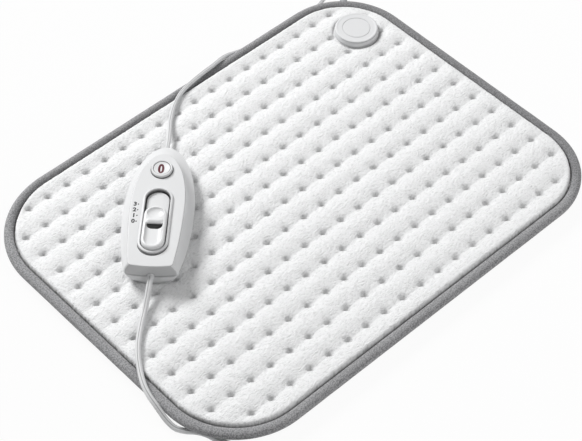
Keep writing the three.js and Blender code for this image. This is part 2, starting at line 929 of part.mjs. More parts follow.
// Outline of the controller at one level, anticlockwise from the middle of its end face:
// bowed end, rounded corners, an elliptic side to the widest place and an elliptic nose
function shellRing(halfWidth, noseReach, frontReach, frontY, z) {
  const sideX = (y) => {
    const share = (shellWidestY - y) / frontReach;
    return halfWidth * Math.sqrt(Math.max(1 - share * share, 0));
  };
  const edgeX = sideX(frontY + frontBow);
  const faceY = (x) => frontY + frontBow * (x / edgeX) ** 2;
  const corner = new THREE.Vector2(edgeX, frontY + frontBow);
  const onFace = new THREE.Vector2(edgeX - frontCornerRadius, 0);
  onFace.y = faceY(onFace.x);
  const onSideY = corner.y + frontCornerRadius;
  const onSide = new THREE.Vector2(sideX(onSideY), onSideY);
  const right = [new THREE.Vector2(onFace.x / 2, faceY(onFace.x / 2)), onFace];
  const facing = onFace.clone().lerp(onSide, 0.5);
  right.push(facing.lerp(corner, 0.5));
  right.push(onSide);
  const sideSteps = 3;
  for (let i = 1; i <= sideSteps; i++) {
    const y = onSideY + ((shellWidestY - onSideY) * i) / sideSteps;
    right.push(new THREE.Vector2(sideX(y), y));
  }
  const noseSteps = 6;
  for (let i = 1; i < noseSteps; i++) {
    const angle = (i / noseSteps) * 90 * degrees;
    right.push(
      new THREE.Vector2(
        halfWidth * Math.cos(angle),
        shellWidestY + noseReach * Math.sin(angle),
      ),
    );
  }
  const ring = [new THREE.Vector3(0, frontY, z)];
  for (const point of right) ring.push(new THREE.Vector3(point.x, point.y, z));
  ring.push(new THREE.Vector3(0, shellWidestY + noseReach, z));
  for (const point of right.reverse()) ring.push(new THREE.Vector3(-point.x, point.y, z));
  return ring;
}

// Rings of the upper shell's skin or, with a wall's thickness, of its inside. The side is a
// cove: it draws in fast above the parting line and stands steeper near the top.
const coveShares = [0, 0.12, 0.3, 0.55, 1];

function coveRing(share, wall, bottom, top) {
  const drawn = 1 - (1 - share) ** coveCurve;
  return shellRing(
    shellHalfWidth - topInset * drawn - wall,
    noseReach - topNoseSetback * drawn - wall,
    shellFrontReach + (topFrontReach - shellFrontReach) * drawn,
    wall,
    bottom + (top - bottom) * share,
  );
}

function upperSkin() {
  const bottom = partingHeight + seatGap / 2;
  const edge = shellHeight - topEdgeRadius;
  const rings = coveShares.map((share) => coveRing(share, 0, bottom, edge));
  const round = topEdgeRadius * edgeRoundShare;
  rings.push(coveRing(1, round, bottom, shellHeight - round));
  rings.push(coveRing(1, topEdgeRadius, bottom, shellHeight));
  return loft(rings);
}

function upperHollow() {
  const bottom = partingHeight + seatGap / 2;
  const rings = coveShares.map((share) => coveRing(share, shellWall, bottom, roofHeight));
  rings.unshift(coveRing(0, shellWall, bottom - cutOverrun, roofHeight));
  return loft(rings);
}

// A ring with round ends, anticlockwise, between two places on the controller's length
function stadiumRing(halfWidth, frontY, backY, z) {
  const steps = 8;
  const ring = [];
  for (let i = 0; i <= steps; i++) {
    const angle = (180 + (180 * i) / steps) * degrees;
    const y = frontY + halfWidth + halfWidth * Math.sin(angle);
    ring.push(new THREE.Vector3(halfWidth * Math.cos(angle), y, z));
  }
  for (let i = 0; i <= steps; i++) {
    const angle = ((180 * i) / steps) * degrees;
    const y = backY - halfWidth + halfWidth * Math.sin(angle);
    ring.push(new THREE.Vector3(halfWidth * Math.cos(angle), y, z));
  }
  return ring;
}

function wellRing(grow, z) {
  return stadiumRing(wellHalfWidth + grow, wellFrontY - grow, wellEndY + grow, z);
}

// Places of the housing screws, front pair first
const screwPlaces = [
  [-screwFrontX, screwFrontY],
  [screwFrontX, screwFrontY],
  [-screwNoseX, shellLength - screwNoseInset],
  [screwNoseX, shellLength - screwNoseInset],
];
const bossRadius = screwShankRadius + seatGap + screwBossWall;
const screwTop = partingHeight + screwReach;

function upperShell() {
  const outside = solid(upperSkin());
  const hollow = solid(upperHollow());
  const bottom = partingHeight + seatGap / 2;
  const inner = roofHeight + shellWall / 2;
  let body = outside.subtract(hollow);
  const slope = collarWidthShares.map((share, i) =>
    wellRing(collarCrest + collarSlope * share, shellHeight + collarRise * collarRiseShares[i]),
  );
  const foot = wellRing(collarCrest + collarSlope, inner);
  const collar = loft([foot, ...slope, wellRing(collarLip, collarHeight)]);
  const tub = loft([wellRing(wellWall, wellUnderside), wellRing(wellWall, inner)]);
  body = join(body, collar, tub);
  const bosses = screwPlaces.map(([x, y]) => rod(bossRadius, bottom, inner, x, y, 12));
  for (const boss of bosses) body = body.add(solid(boss).intersect(outside));
  const slitHalf = knobStemWidth / 2 + seatGap;
  const slitFront = knobMiddleY - knobStemLength / 2 - knobEndPlay;
  const slitBack = knobMiddleY + knobStemLength / 2 + knobTravel + knobEndPlay;
  body = cut(
    body,
    loft([
      wellRing(0, wellFloorHeight),
      wellRing(0, collarHeight - collarLip),
      wellRing(collarLip, collarHeight + seatGap),
    ]),
    block(-slitHalf, slitHalf, slitFront, slitBack, wellUnderside - seatGap, knobBase),
    rod(buttonRadius + buttonHoleGap, roofHeight - seatGap, shellHeight + cutOverrun, 0, buttonY, 28),
  );
  const holes = screwPlaces.map(([x, y]) =>
    rod(screwShankRadius + seatGap, bottom - cutOverrun, screwTop + seatGap, x, y, 10),
  );
  return cut(body, ...holes, mainsReliefHole(), leadReliefHole());
}

// The holes for the strain reliefs, through the end face and through the nose
function mainsReliefHole() {
  return rod(mainsReliefRadius + seatGap, -mainsFlangeDepth, cutOverrun, 0, 0, 16)
    .rotateX(Math.PI / 2)
    .translate(0, 0, partingHeight);
}

function leadReliefHole() {
  return rod(leadReliefRadius + seatGap, -leadFlangeDepth, cutOverrun, 0, 0, 16)
    .rotateX(-Math.PI / 2)
    .translate(0, shellLength, leadExitHeight);
}

// Rings of the lower shell's bowl or, with a wall's thickness, of its inside
const bowlShares = [bowlFootShare, 0.62, 0.8, 0.93, 1];

function bowlHeight(share, wall) {
  const fall = (value) => 1 - (1 - value ** bowlCurve) ** (1 / bowlCurve);
  const foot = fall(bowlFootShare);
  const top = partingHeight - seatGap / 2;
  return wall + ((top - wall) * (fall(share) - foot)) / (1 - foot);
}

function bowlRing(share, wall) {
  return shellRing(
    shellHalfWidth * share - wall,
    noseReach * share - wall,
    shellFrontReach,
    wall,
    bowlHeight(share, wall),
  );
}

function lowerShell() {
  const top = partingHeight - seatGap / 2;
  const outside = solid(loft(bowlShares.map((share) => bowlRing(share, 0))));
  const hollowRings = bowlShares.map((share) => bowlRing(share, shellWall));
  const rim = bowlRing(1, shellWall);
  hollowRings.push(rim.map((point) => point.clone().setZ(top + cutOverrun)));
  let body = outside.subtract(solid(loft(hollowRings)));
  const addInside = (piece) => {
    body = body.add(solid(piece).intersect(outside));
  };
  for (const [x, y] of screwPlaces) addInside(rod(bossRadius, 0, top, x, y, 12));
  const postTop = boardHeight - seatGap;
  for (const side of [-1, 1]) {
    for (const y of [boardFrontY + boardPostInset, boardNoseY - 2 * boardPostInset]) {
      addInside(rod(boardPostRadius, shellWall / 2, postTop, side * boardPostX, y, 10));
    }
  }
  for (const [x, y] of screwPlaces) {
    body = cut(
      body,
      rod(screwHeadRadius + seatGap, -cutOverrun, screwHeadSeat, x, y, 12),
      rod(screwShankRadius + seatGap, -cutOverrun, top + cutOverrun, x, y, 10),
    );
  }
  return cut(body, mainsReliefHole(), leadReliefHole());
}

// Slide knob: a long trough in front of a thumb ridge, and a shallow scoop behind it
function slideKnob() {
  const backY = knobFrontY + knobLength;
  const halfWidth = wellHalfWidth - seatGap;
  const ring = (inset, rake, z) =>
    stadiumRing(halfWidth - inset, knobFrontY + inset, backY - inset - rake, z);
  const edge = knobEdgeShares.map((share, i) => {
    const lift = knobEdge * knobEdgeShares[knobEdgeShares.length - 1 - i];
    return ring(knobEdge * share, knobBackRake, knobTop - lift);
  });
  let body = solid(loft([ring(0, 0, knobBase), ...edge]));
  const troughEnd = knobFrontY + troughEndFromTail;
  const troughRings = troughWidthShares.map((share, i) => {
    const half = troughHalfWidth * share;
    const front = knobFrontY + troughRim + troughHalfWidth - half;
    const down = troughDepthShares[i];
    const back = troughEnd - troughEndSlope * Math.max(down, 0);
    return troughRing(half, front, back, knobTop - down * troughDepth);
  });
  const trough = loft(troughRings.reverse());
  const scoop = new THREE.SphereGeometry(1, 14, 8)
    .scale(scoopHalfWidth, scoopHalfLength, scoopDepth)
    .translate(0, troughEnd + 2 * ridgeRadius + scoopHalfLength, knobTop);
  body = cut(body, trough, scoop);
  const ridge = new THREE.CapsuleGeometry(ridgeRadius, 2 * (ridgeHalfLength - ridgeRadius), 3, 12)
    .rotateZ(Math.PI / 2)
    .translate(0, troughEnd + ridgeRadius, knobTop + ridgeRise - ridgeRadius);
  const stem = block(
    -knobStemWidth / 2,
    knobStemWidth / 2,
    knobMiddleY - knobStemLength / 2,
    knobMiddleY + knobStemLength / 2,
    carriageBase + carriageFloor + seatGap,
    knobBase + seatGap,
  );
  return join(body, ridge, stem);
}

// A ring with a round front end and a square back end
function troughRing(halfWidth, frontY, backY, z) {
  const steps = 8;
  const ring = [];
  for (let i = 0; i <= steps; i++) {
    const angle = (180 + (180 * i) / steps) * degrees;
    const y = frontY + halfWidth + halfWidth * Math.sin(angle);
    ring.push(new THREE.Vector3(halfWidth * Math.cos(angle), y, z));
  }
  ring.push(new THREE.Vector3(halfWidth, backY, z), new THREE.Vector3(-halfWidth, backY, z));
  return ring;
}

// Carriage: a plate that takes the knob's stem and carries a tab down into the switch
function sliderCarriage() {
  const front = knobMiddleY - carriageLength / 2;
  const back = knobMiddleY + carriageLength / 2;
  const plate = block(-carriageHalfWidth, carriageHalfWidth, front, back, carriageBase, carriageTop);
  const socketHalf = knobStemWidth / 2 + seatGap;
  const socket = block(
    -socketHalf,
    socketHalf,
    knobMiddleY - knobStemLength / 2 - seatGap,
    knobMiddleY + knobStemLength / 2 + seatGap,
    carriageBase + carriageFloor,
    carriageTop + cutOverrun,
  );
  const tab = block(
    -switchTabHalfWidth,
    switchTabHalfWidth,
    knobMiddleY - switchTabLength / 2,
    knobMiddleY + switchTabLength / 2,
    tabBase,
    carriageBase + carriageFloor / 2,
  );
  return join(cut(solid(plate), socket), tab);
}

// Wiper: a bent contact strip round the foot of the carriage's tab
function switchWiper() {
  const inner = switchTabHalfWidth + seatGap;
  const outer = inner + wiperSheet;
  const floor = tabBase - seatGap;
  const top = floor + (carriageBase - tabBase) / 4;
  const profile = new THREE.Shape([
    new THREE.Vector2(-outer, floor - wiperSheet),
    new THREE.Vector2(outer, floor - wiperSheet),
    new THREE.Vector2(outer, top),
    new THREE.Vector2(inner, top),
    new THREE.Vector2(inner, floor),
    new THREE.Vector2(-inner, floor),
    new THREE.Vector2(-inner, top),
    new THREE.Vector2(-outer, top),
  ]);
  return new THREE.ExtrudeGeometry(profile, { depth: switchTabLength, bevelEnabled: false })
    .rotateX(Math.PI / 2)
    .translate(0, knobMiddleY + switchTabLength / 2, 0);
}

function switchHousing() {
  const channelFront = knobMiddleY - switchTabLength / 2 - knobEndPlay;
  const channelBack = knobMiddleY + switchTabLength / 2 + knobTravel + knobEndPlay;
  const top = carriageBase - seatGap;
  return cut(
    solid(
      block(
        -switchHousingHalfWidth,
        switchHousingHalfWidth,
        channelFront - switchHousingWall,
        channelBack + switchHousingWall,
        partsBase,
        top,
      ),
    ),
    block(
      -switchChannelHalfWidth,
      switchChannelHalfWidth,
      channelFront,
      channelBack,
      channelFloor,
      top + cutOverrun,
    ),
  );
}

// Off button: a dished cap with a flange that the roof holds back, and a stem
function offButton() {
  const top = shellHeight + buttonProud;
  const stemBase = tactTop + seatGap + buttonTravel;
  const round = buttonEdge * edgeRoundShare;
  const profile = [
    [0, stemBase],
    [buttonStemRadius, stemBase],
    [buttonStemRadius, flangeBase],
    [buttonRadius + buttonFlangeWidth, flangeBase],
    [buttonRadius + buttonFlangeWidth, flangeTop],
    [buttonRadius, flangeTop],
    [buttonRadius, top - buttonEdge],
    [buttonRadius - round, top - round],
  ];
  const dishRadius = buttonRadius - buttonEdge;
  for (let i = 0; i <= buttonDishSteps; i++) {
    const share = 1 - i / buttonDishSteps;
    profile.push([dishRadius * share, top - buttonDish * (1 - share * share)]);
  }
  return turned(profile, 28).translate(0, buttonY, 0);
}

// Return spring of the off button, round the push switch
function buttonSpring() {
  const low = partsBase + springWireRadius;
  const high = flangeBase - seatGap - springWireRadius;
  const stepsPerTurn = 10;
  const steps = springTurns * stepsPerTurn;
  const points = Array.from({ length: steps + 1 }, (_, i) => {
    const angle = (2 * Math.PI * i) / stepsPerTurn;
    return new THREE.Vector3(
      springRadius * Math.cos(angle),
      buttonY + springRadius * Math.sin(angle),
      low + ((high - low) * i) / steps,
    );
  });
  return tube(points, springWireRadius, 5);
}

function tactSwitch() {
  const half = tactWidth / 2;
  const bodyTop = partsBase + tactHeight;
  return join(
    solid(block(-half, half, buttonY - half, buttonY + half, partsBase, bodyTop)),
    rod(tactPlungerRadius, bodyTop - seatGap, tactTop, 0, buttonY, 10),
  );
}

function circuitBoard() {
  const outline = new THREE.Shape([
    new THREE.Vector2(-boardHalfWidth + boardTaper, boardFrontY),
    new THREE.Vector2(boardHalfWidth - boardTaper, boardFrontY),
    new THREE.Vector2(boardHalfWidth, boardFrontY + boardTaper),
    new THREE.Vector2(boardHalfWidth, boardNoseY - 2 * boardTaper),
    new THREE.Vector2(boardHalfWidth - boardTaper, boardNoseY),
    new THREE.Vector2(-boardHalfWidth + boardTaper, boardNoseY),
    new THREE.Vector2(-boardHalfWidth, boardNoseY - 2 * boardTaper),
    new THREE.Vector2(-boardHalfWidth, boardFrontY + boardTaper),
  ]);
  return new THREE.ExtrudeGeometry(outline, {
    depth: boardThickness,
    bevelEnabled: false,
  }).translate(0, 0, boardHeight);
}

function capacitor() {
  const middle = wellEndY + capacitorFromWellEnd;
  return block(
    capacitorX - capacitorWidth / 2,
    capacitorX + capacitorWidth / 2,
    middle - capacitorLength / 2,
    middle + capacitorLength / 2,
    partsBase,
    wellUnderside - capacitorWellGap,
  );
}

// A part that lies along the board: turned about its own length
function lyingPart(profile, x, y, radius) {
  return turned(profile, 10).rotateX(-Math.PI / 2).translate(x, y, partsBase + radius);
}

function dropperResistor() {
  const half = resistorLength / 2;
  const profile = [
    [0, -half],
    [resistorRadius, -half],
    [resistorRadius, half],
    [0, half],
  ];
  return lyingPart(profile, resistorX, wellFrontY + resistorFromWellFront, resistorRadius);
}

function mainsFuse() {
  const half = fuseLength / 2;
  const glass = fuseRadius;
  const ferrule = fuseRadius + fuseCapRise;
  const profile = [
    [0, -half],
    [ferrule, -half],
    [ferrule, -half + fuseCapLength],
    [glass, -half + fuseCapLength],
    [glass, half - fuseCapLength],
    [ferrule, half - fuseCapLength],
    [ferrule, half],
    [0, half],
  ];
  return lyingPart(profile, fuseX, wellFrontY + fuseFromWellFront, ferrule);
}

function triac() {
  const left = triacX - triacWidth / 2;
  const front = wellEndY + triacFromWellEnd - triacLength / 2;
  const back = front + triacLength;
  const top = roofHeight - triacRoofGap - triacTabHeight;
  return join(
    solid(block(left, left + triacWidth, front, back, partsBase, top)),
    block(left, left + triacTabThickness, front, back, top - seatGap, top + triacTabHeight),
  );
}

function housingScrew(x, y) {
  const headTop = screwHeadSeat - seatGap;
  return turned(
    [
      [0, headTop - screwHeadHeight],
      [screwHeadRadius, headTop - screwHeadHeight],
      [screwHeadRadius, headTop],
      [screwShankRadius, headTop],
      [screwShankRadius, screwTop],
      [0, screwTop],
    ],
    10,
  ).translate(x, y, 0);
}

// Strain relief: a short ring outside, a flange inside the housing and a taper behind it
function strainRelief(radius, tip, flangeDepth, inside) {
  const flangeBack = flangeDepth + reliefFlangeThickness;
  return turned(
    [
      [0, -tip],
      [radius - seatGap, -tip],
      [radius, -tip + seatGap],
      [radius, flangeDepth],
      [radius + reliefFlangeRise, flangeDepth],
      [radius + reliefFlangeRise, flangeBack],
      [radius, flangeBack],
      [radius * reliefTaperShare, inside],
      [0, inside],
    ],
    14,
  );
}

function mainsStrainRelief() {
  return strainRelief(mainsReliefRadius, mainsReliefTip, mainsFlangeDepth, mainsReliefInside)
    .rotateX(-Math.PI / 2)
    .translate(0, 0, partingHeight);
}

function leadStrainRelief() {
  return strainRelief(leadReliefRadius, leadReliefTip, leadFlangeDepth, leadReliefInside)
    .rotateX(Math.PI / 2)
    .translate(0, shellLength, leadExitHeight);
}

// Places on the controller in the pad's frame
function onController(x, y, z) {
  const turn = controllerTurn * degrees;
  return new THREE.Vector3(x, y, z)
    .applyAxisAngle(up, turn)
    .add(new THREE.Vector3(controllerX, controllerY, controllerZ));
}

function routePoints(route) {
  return route.map(([x, y, z]) => new THREE.Vector3(x, y, z));
}

const coilStart = new THREE.Vector3(coilX + coilOuterRadius, coilY + mainsLeadDiameter, coilBaseZ);
const coilEnd = new THREE.Vector3(coilX + coilOuterRadius, coilY - mainsLeadDiameter, coilTopZ);

function mainsLead() {
  return lead(
    [
      onController(0, -mainsReliefTip - seatGap, partingHeight),
      ...routePoints(mainsLeadRoute),
      coilStart.clone().add(new THREE.Vector3(0, mainsLeadDiameter, 0)),
      coilStart.clone().add(new THREE.Vector3(0, seatGap, 0)),
    ],
    mainsLeadDiameter,
  );
}

function padLead() {
  return lead(
    [
      onController(0, shellLength + leadReliefTip + seatGap, leadExitHeight),
      ...routePoints(padLeadRoute),
      glandPoint(-2 * seatGap - glandBootLength - padLeadDiameter),
      glandPoint(-2 * seatGap - glandBootLength),
    ],
    padLeadDiameter,
  );
}

function mainsLeadTail() {
  return lead(
    [
      coilEnd.clone().add(new THREE.Vector3(0, -seatGap, 0)),
      ...routePoints(tailRoute),
      new THREE.Vector3(plugReliefX + seatGap, plugReliefY, plugHeight / 2),
    ],
    mainsLeadDiameter,
  );
}

// Path of the coil: in towards its middle on the floor layer, up a layer in the half turn
// where the spiral reverses, and out again on top
function coilPath() {
  const points = [coilStart];
  const steps = coilTurns * coilStepsPerTurn;
  for (let i = 0; i <= steps; i++) {
    const turn = i / coilStepsPerTurn;
    const fromMiddle = turn - coilTurns / 2;
    const radius = coilInnerRadius + coilPitch * Math.abs(fromMiddle);
    const climbed = THREE.MathUtils.clamp(0.5 + fromMiddle / coilClimbTurns, 0, 1);
    const angle = -2 * Math.PI * turn;
    points.push(
      new THREE.Vector3(
        coilX + radius * Math.cos(angle),
        coilY + radius * Math.sin(angle),
        coilBaseZ + coilLayerPitch * climbed,
      ),
    );
  }
  points.push(coilEnd);
  return points;
}

// Least gap of the coil to itself, between points at least half a turn apart
function leastSelfGap(points) {
  let least = Infinity;
  const apart = coilStepsPerTurn / 2;
  points.forEach((point, i) => {
    for (let j = i + apart; j < points.length; j++) {
      least = Math.min(least, point.distanceTo(points[j]));
    }
  });
  return least - mainsLeadDiameter;
}

function mainsLeadCoil() {
  const path = coilPath();
  console.log("coil's least gap to itself, mm:", leastSelfGap(path).toFixed(2));
  return tube(path, mainsLeadDiameter / 2, 6);
}

// Tie: a thin band round the bundle of turns, in the plane that cuts it square
function coilTie() {
  const turnsIn = tieAngle / 360;
  const outermost = coilOuterRadius - coilPitch * turnsIn;
  const innermost = coilInnerRadius + coilPitch * (0.5 - Math.abs(0.5 - turnsIn));
  const half = mainsLeadDiameter / 2;
  const innerFace =
    Math.sqrt((innermost - half) ** 2 - (tieWidth / 2) ** 2) - tieClearance;
  const outerFace = outermost + half + tieClearance;
  const low = coilBaseZ - half - seatGap;
  const high = coilTopZ + half + seatGap;
  const band = (grow) => {
    const corner = mainsLeadDiameter / 4 + grow;
    const shape = new THREE.Shape();
    const left = innerFace - grow;
    const right = outerFace + grow;
    const bottom = low - grow;
    const top = high + grow;
    shape.moveTo(left + corner, bottom);
    shape.lineTo(right - corner, bottom);
    shape.lineTo(right, bottom + corner);
    shape.lineTo(right, top - corner);
    shape.lineTo(right - corner, top);
    shape.lineTo(left + corner, top);
    shape.lineTo(left, top - corner);
    shape.lineTo(left, bottom + corner);
    shape.closePath();
    return shape;
  };
  const outline = band(tieThickness);
  outline.holes.push(band(0));
  return new THREE.ExtrudeGeometry(outline, { depth: tieWidth, bevelEnabled: false })
    .translate(0, 0, -tieWidth / 2)
    .rotateX(Math.PI / 2)
    .rotateZ(tieAngle * degrees)
    .translate(coilX, coilY, 0);
}

// Pieces on the end of the mains lead, laid along -X
function alongPlug(geometry) {
  return geometry
    .rotateY(-Math.PI / 2)
    .translate(plugReliefX, plugReliefY, plugHeight / 2);
}

function plugStrainRelief() {
  return alongPlug(
    turned(
      [
        [0, 0],
        [plugReliefTipRadius, 0],
        [plugReliefRadius, plugReliefLength],
        [0, plugReliefLength],
      ],
      12,
    ),
  );
}

function plugRing(width, height, along) {
  const ring = [];
  const round = height * plugRoundShare;
  for (let corner = 0; corner < 4; corner++) {
    const sideX = corner === 0 || corner === 3 ? 1 : -1;
    const sideY = corner < 2 ? 1 : -1;
    for (let step = 0; step <= 2; step++) {
      const angle = (corner + step / 2) * 90 * degrees;
      ring.push(
        new THREE.Vector3(
          sideX * (height / 2 - round) + round * Math.cos(angle),
          sideY * (width / 2 - round) + round * Math.sin(angle),
          along,
        ),
      );
    }
  }
  return ring;
}

function plugBody() {
  const start = plugReliefLength + seatGap;
  const rings = plugLengthShares.map((share, i) =>
    plugRing(
      plugNeckWidth + (plugWidth - plugNeckWidth) * plugWidthShares[i],
      plugNeckHeight + (plugHeight - plugNeckHeight) * plugHeightShares[i],
      start + plugLength * share,
    ),
  );
  return alongPlug(loft(rings));
}

function plugPin(side) {
  const start = plugReliefLength + plugLength + 2 * seatGap;
  return alongPlug(
    turned(
      [
        [0, 0],
        [plugPinRadius, 0],
        [plugPinRadius, plugPinLength - plugPinRadius / 2],
        [plugPinRadius / 2, plugPinLength],
        [0, plugPinLength],
      ],
      12,
    ).translate(0, (side * plugPinSpacing) / 2, start),
  );
}

// Finishes
function finish(color, roughness, metalness = 0) {
  return new THREE.MeshStandardMaterial({ color, roughness, metalness });
}

const finishes = {
  fleece: finish(0xf4f5f6, 0.95),
  cotton: finish(0xe9e9e6, 0.9),
  wadding: finish(0xf0efe9, 1),
  carrier: finish(0xdcdad2, 0.9),
  tape: finish(0x8b8b8e, 0.85),
  shell: finish(0xeceded, 0.35),
  knob: finish(0xf1f2f2, 0.3),
  disc: finish(0xd9dbdd, 0.4),
  jacket: finish(0xdddedf, 0.45),
  boot: finish(0x9a9c9e, 0.6),
  insulation: finish(0xc9b48a, 0.5),
  board: finish(0x2f6b45, 0.5),
  blackPlastic: finish(0x26282a, 0.5),
  steel: finish(0xb8babc, 0.3, 1),
  brass: finish(0xc8a860, 0.3, 1),
  copper: finish(0xb87850, 0.35, 1),
  glass: finish(0xd8e0e0, 0.1),
};

function piece(name, made, material) {
  const geometry = made.isBufferGeometry ? made : geometryOf(made);
  const mesh = new THREE.Mesh(geometry, material);
  mesh.name = name;
  return mesh;
}

function padGroup() {
  const group = new THREE.Group();
  group.add(
    piece("cotton_bottom_cover", bottomCover(), finishes.cotton),
    piece("wadding_layer", waddingLayer(), finishes.wadding),
    piece(
      "heater_carrier",
      padPlate(carrierInset, carrierBase, carrierBase + carrierThickness),
      finishes.carrier,
    ),
    piece("heating_wire", heatingWire(), finishes.insulation),
    piece("fleece_top_cover", fleeceTopCover(), finishes.fleece),
    piece("edge_binding", edgeBinding(), finishes.tape),
    piece("junction_cap", junctionCap(), finishes.disc),
    piece("junction_base", junctionBasePlate(), finishes.disc),
    piece("junction_clamp_plate", junctionClampPlate(), finishes.disc),
    piece("terminal_block", terminalBlock(), finishes.blackPlastic),
    piece("pad_thermal_fuse", thermalFuse(), finishes.steel),
    piece("lead_conductor_live", leadConductor(-1), finishes.insulation),
    piece("lead_conductor_neutral", leadConductor(1), finishes.insulation),
    piece("pad_lead_gland", padLeadGland(), finishes.boot),
  );
  return group;
}

function controllerGroup() {
  const group = new THREE.Group();
  group.position.set(controllerX, controllerY, controllerZ);
  group.rotation.z = controllerTurn * degrees;
  group.add(
    piece("upper_shell", upperShell(), finishes.shell),
    piece("lower_shell", lowerShell(), finishes.shell),
    piece("slide_knob", slideKnob(), finishes.knob),
    piece("slider_carriage", sliderCarriage(), finishes.blackPlastic),
    piece("switch_wiper", switchWiper(), finishes.brass),
    piece("switch_housing", switchHousing(), finishes.blackPlastic),
    piece("off_button", offButton(), finishes.knob),
    piece("button_spring", buttonSpring(), finishes.steel),
    piece("tact_switch", tactSwitch(), finishes.blackPlastic),
    piece("circuit_board", circuitBoard(), finishes.board),
    piece("suppression_capacitor", capacitor(), finishes.blackPlastic),
    piece("dropper_resistor", dropperResistor(), finishes.copper),
    piece("mains_fuse", mainsFuse(), finishes.glass),
    piece("triac", triac(), finishes.blackPlastic),
    piece("mains_strain_relief", mainsStrainRelief(), finishes.jacket),
    piece("lead_strain_relief", leadStrainRelief(), finishes.jacket),
  );
  screwPlaces.forEach(([x, y], i) => {
    group.add(piece("housing_screw_" + (i + 1), housingScrew(x, y), finishes.steel));
  });
  return group;
}

function leadGroup() {
  const group = new THREE.Group();
  group.add(
    piece("pad_lead", padLead(), finishes.jacket),
    piece("mains_lead", mainsLead(), finishes.jacket),
    piece("mains_lead_coil", mainsLeadCoil(), finishes.jacket),
    piece("coil_tie", coilTie(), finishes.blackPlastic),
    piece("mains_lead_tail", mainsLeadTail(), finishes.jacket),
    piece("plug_strain_relief", plugStrainRelief(), finishes.jacket),
    piece("plug_body", plugBody(), finishes.jacket),
  );
  [-1, 1].forEach((side, i) => {
    group.add(piece("plug_pin_" + (i + 1), plugPin(side), finishes.steel));
  });
  return group;
}

const heatingPad = new THREE.Group();
heatingPad.add(padGroup(), controllerGroup(), leadGroup());

export default heatingPad;
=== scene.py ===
"""Heating pad with its slide controller, dressed over its solids, in metres."""

import logging
import math
from dataclasses import dataclass
from enum import Enum
from typing import Any, Callable, Sequence

import bmesh
import bpy
import numpy as np
from mathutils import Matrix, Vector, noise


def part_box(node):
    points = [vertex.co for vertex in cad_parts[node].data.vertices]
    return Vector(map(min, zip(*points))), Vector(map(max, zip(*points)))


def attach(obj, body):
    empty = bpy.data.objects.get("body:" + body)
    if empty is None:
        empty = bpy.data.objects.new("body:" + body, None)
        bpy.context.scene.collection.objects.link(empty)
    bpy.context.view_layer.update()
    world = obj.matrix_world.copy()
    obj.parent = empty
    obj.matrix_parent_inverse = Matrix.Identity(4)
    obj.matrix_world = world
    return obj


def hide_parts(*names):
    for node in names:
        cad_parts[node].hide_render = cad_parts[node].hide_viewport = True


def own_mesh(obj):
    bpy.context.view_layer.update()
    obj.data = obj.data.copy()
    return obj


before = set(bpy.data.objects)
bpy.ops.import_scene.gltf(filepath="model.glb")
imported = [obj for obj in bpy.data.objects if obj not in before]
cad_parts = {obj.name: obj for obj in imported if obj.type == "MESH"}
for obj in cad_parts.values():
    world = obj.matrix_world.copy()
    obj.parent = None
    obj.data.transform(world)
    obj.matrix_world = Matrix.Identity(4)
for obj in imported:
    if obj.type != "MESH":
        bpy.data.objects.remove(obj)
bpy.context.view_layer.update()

MM = 0.001
NOISE_SEED = 1
LOG = logging.getLogger("heating_pad")

Array = np.ndarray
Ring = np.ndarray
Piece = bpy.types.Object
Socket = bpy.types.NodeSocket
Material = bpy.types.Material
Triple = tuple[float, float, float]
Colour = Triple
Route = list[Triple]
Pairs = Sequence[tuple[float, float]]

# Places that several pieces share, in millimetres. The controller's are in its own frame.
CAP_X, CAP_Y = 177.0, 107.3
COIL_X, COIL_Y = -232.0, -177.0
BUTTON_Y = 104.4
SHELL_TOP = 22.9
MAINS_EXIT_Z = 10.7
PAD_EXIT_Y, PAD_EXIT_Z = 140.0, 7.4
SCREW_PLACES = ((-14.5, 10.5), (14.5, 10.5), (-12.0, 114.0), (12.0, 114.0))


class Body(str, Enum):
    """The three moving bodies of the part."""

    PAD = "pad_and_housing"
    SLIDER = "slider"
    BUTTON = "button"


class Cut(str, Enum):
    """What a tool body does to the piece it meets."""

    TAKE = "DIFFERENCE"
    ADD = "UNION"


# ---------------------------------------------------------------- workbench


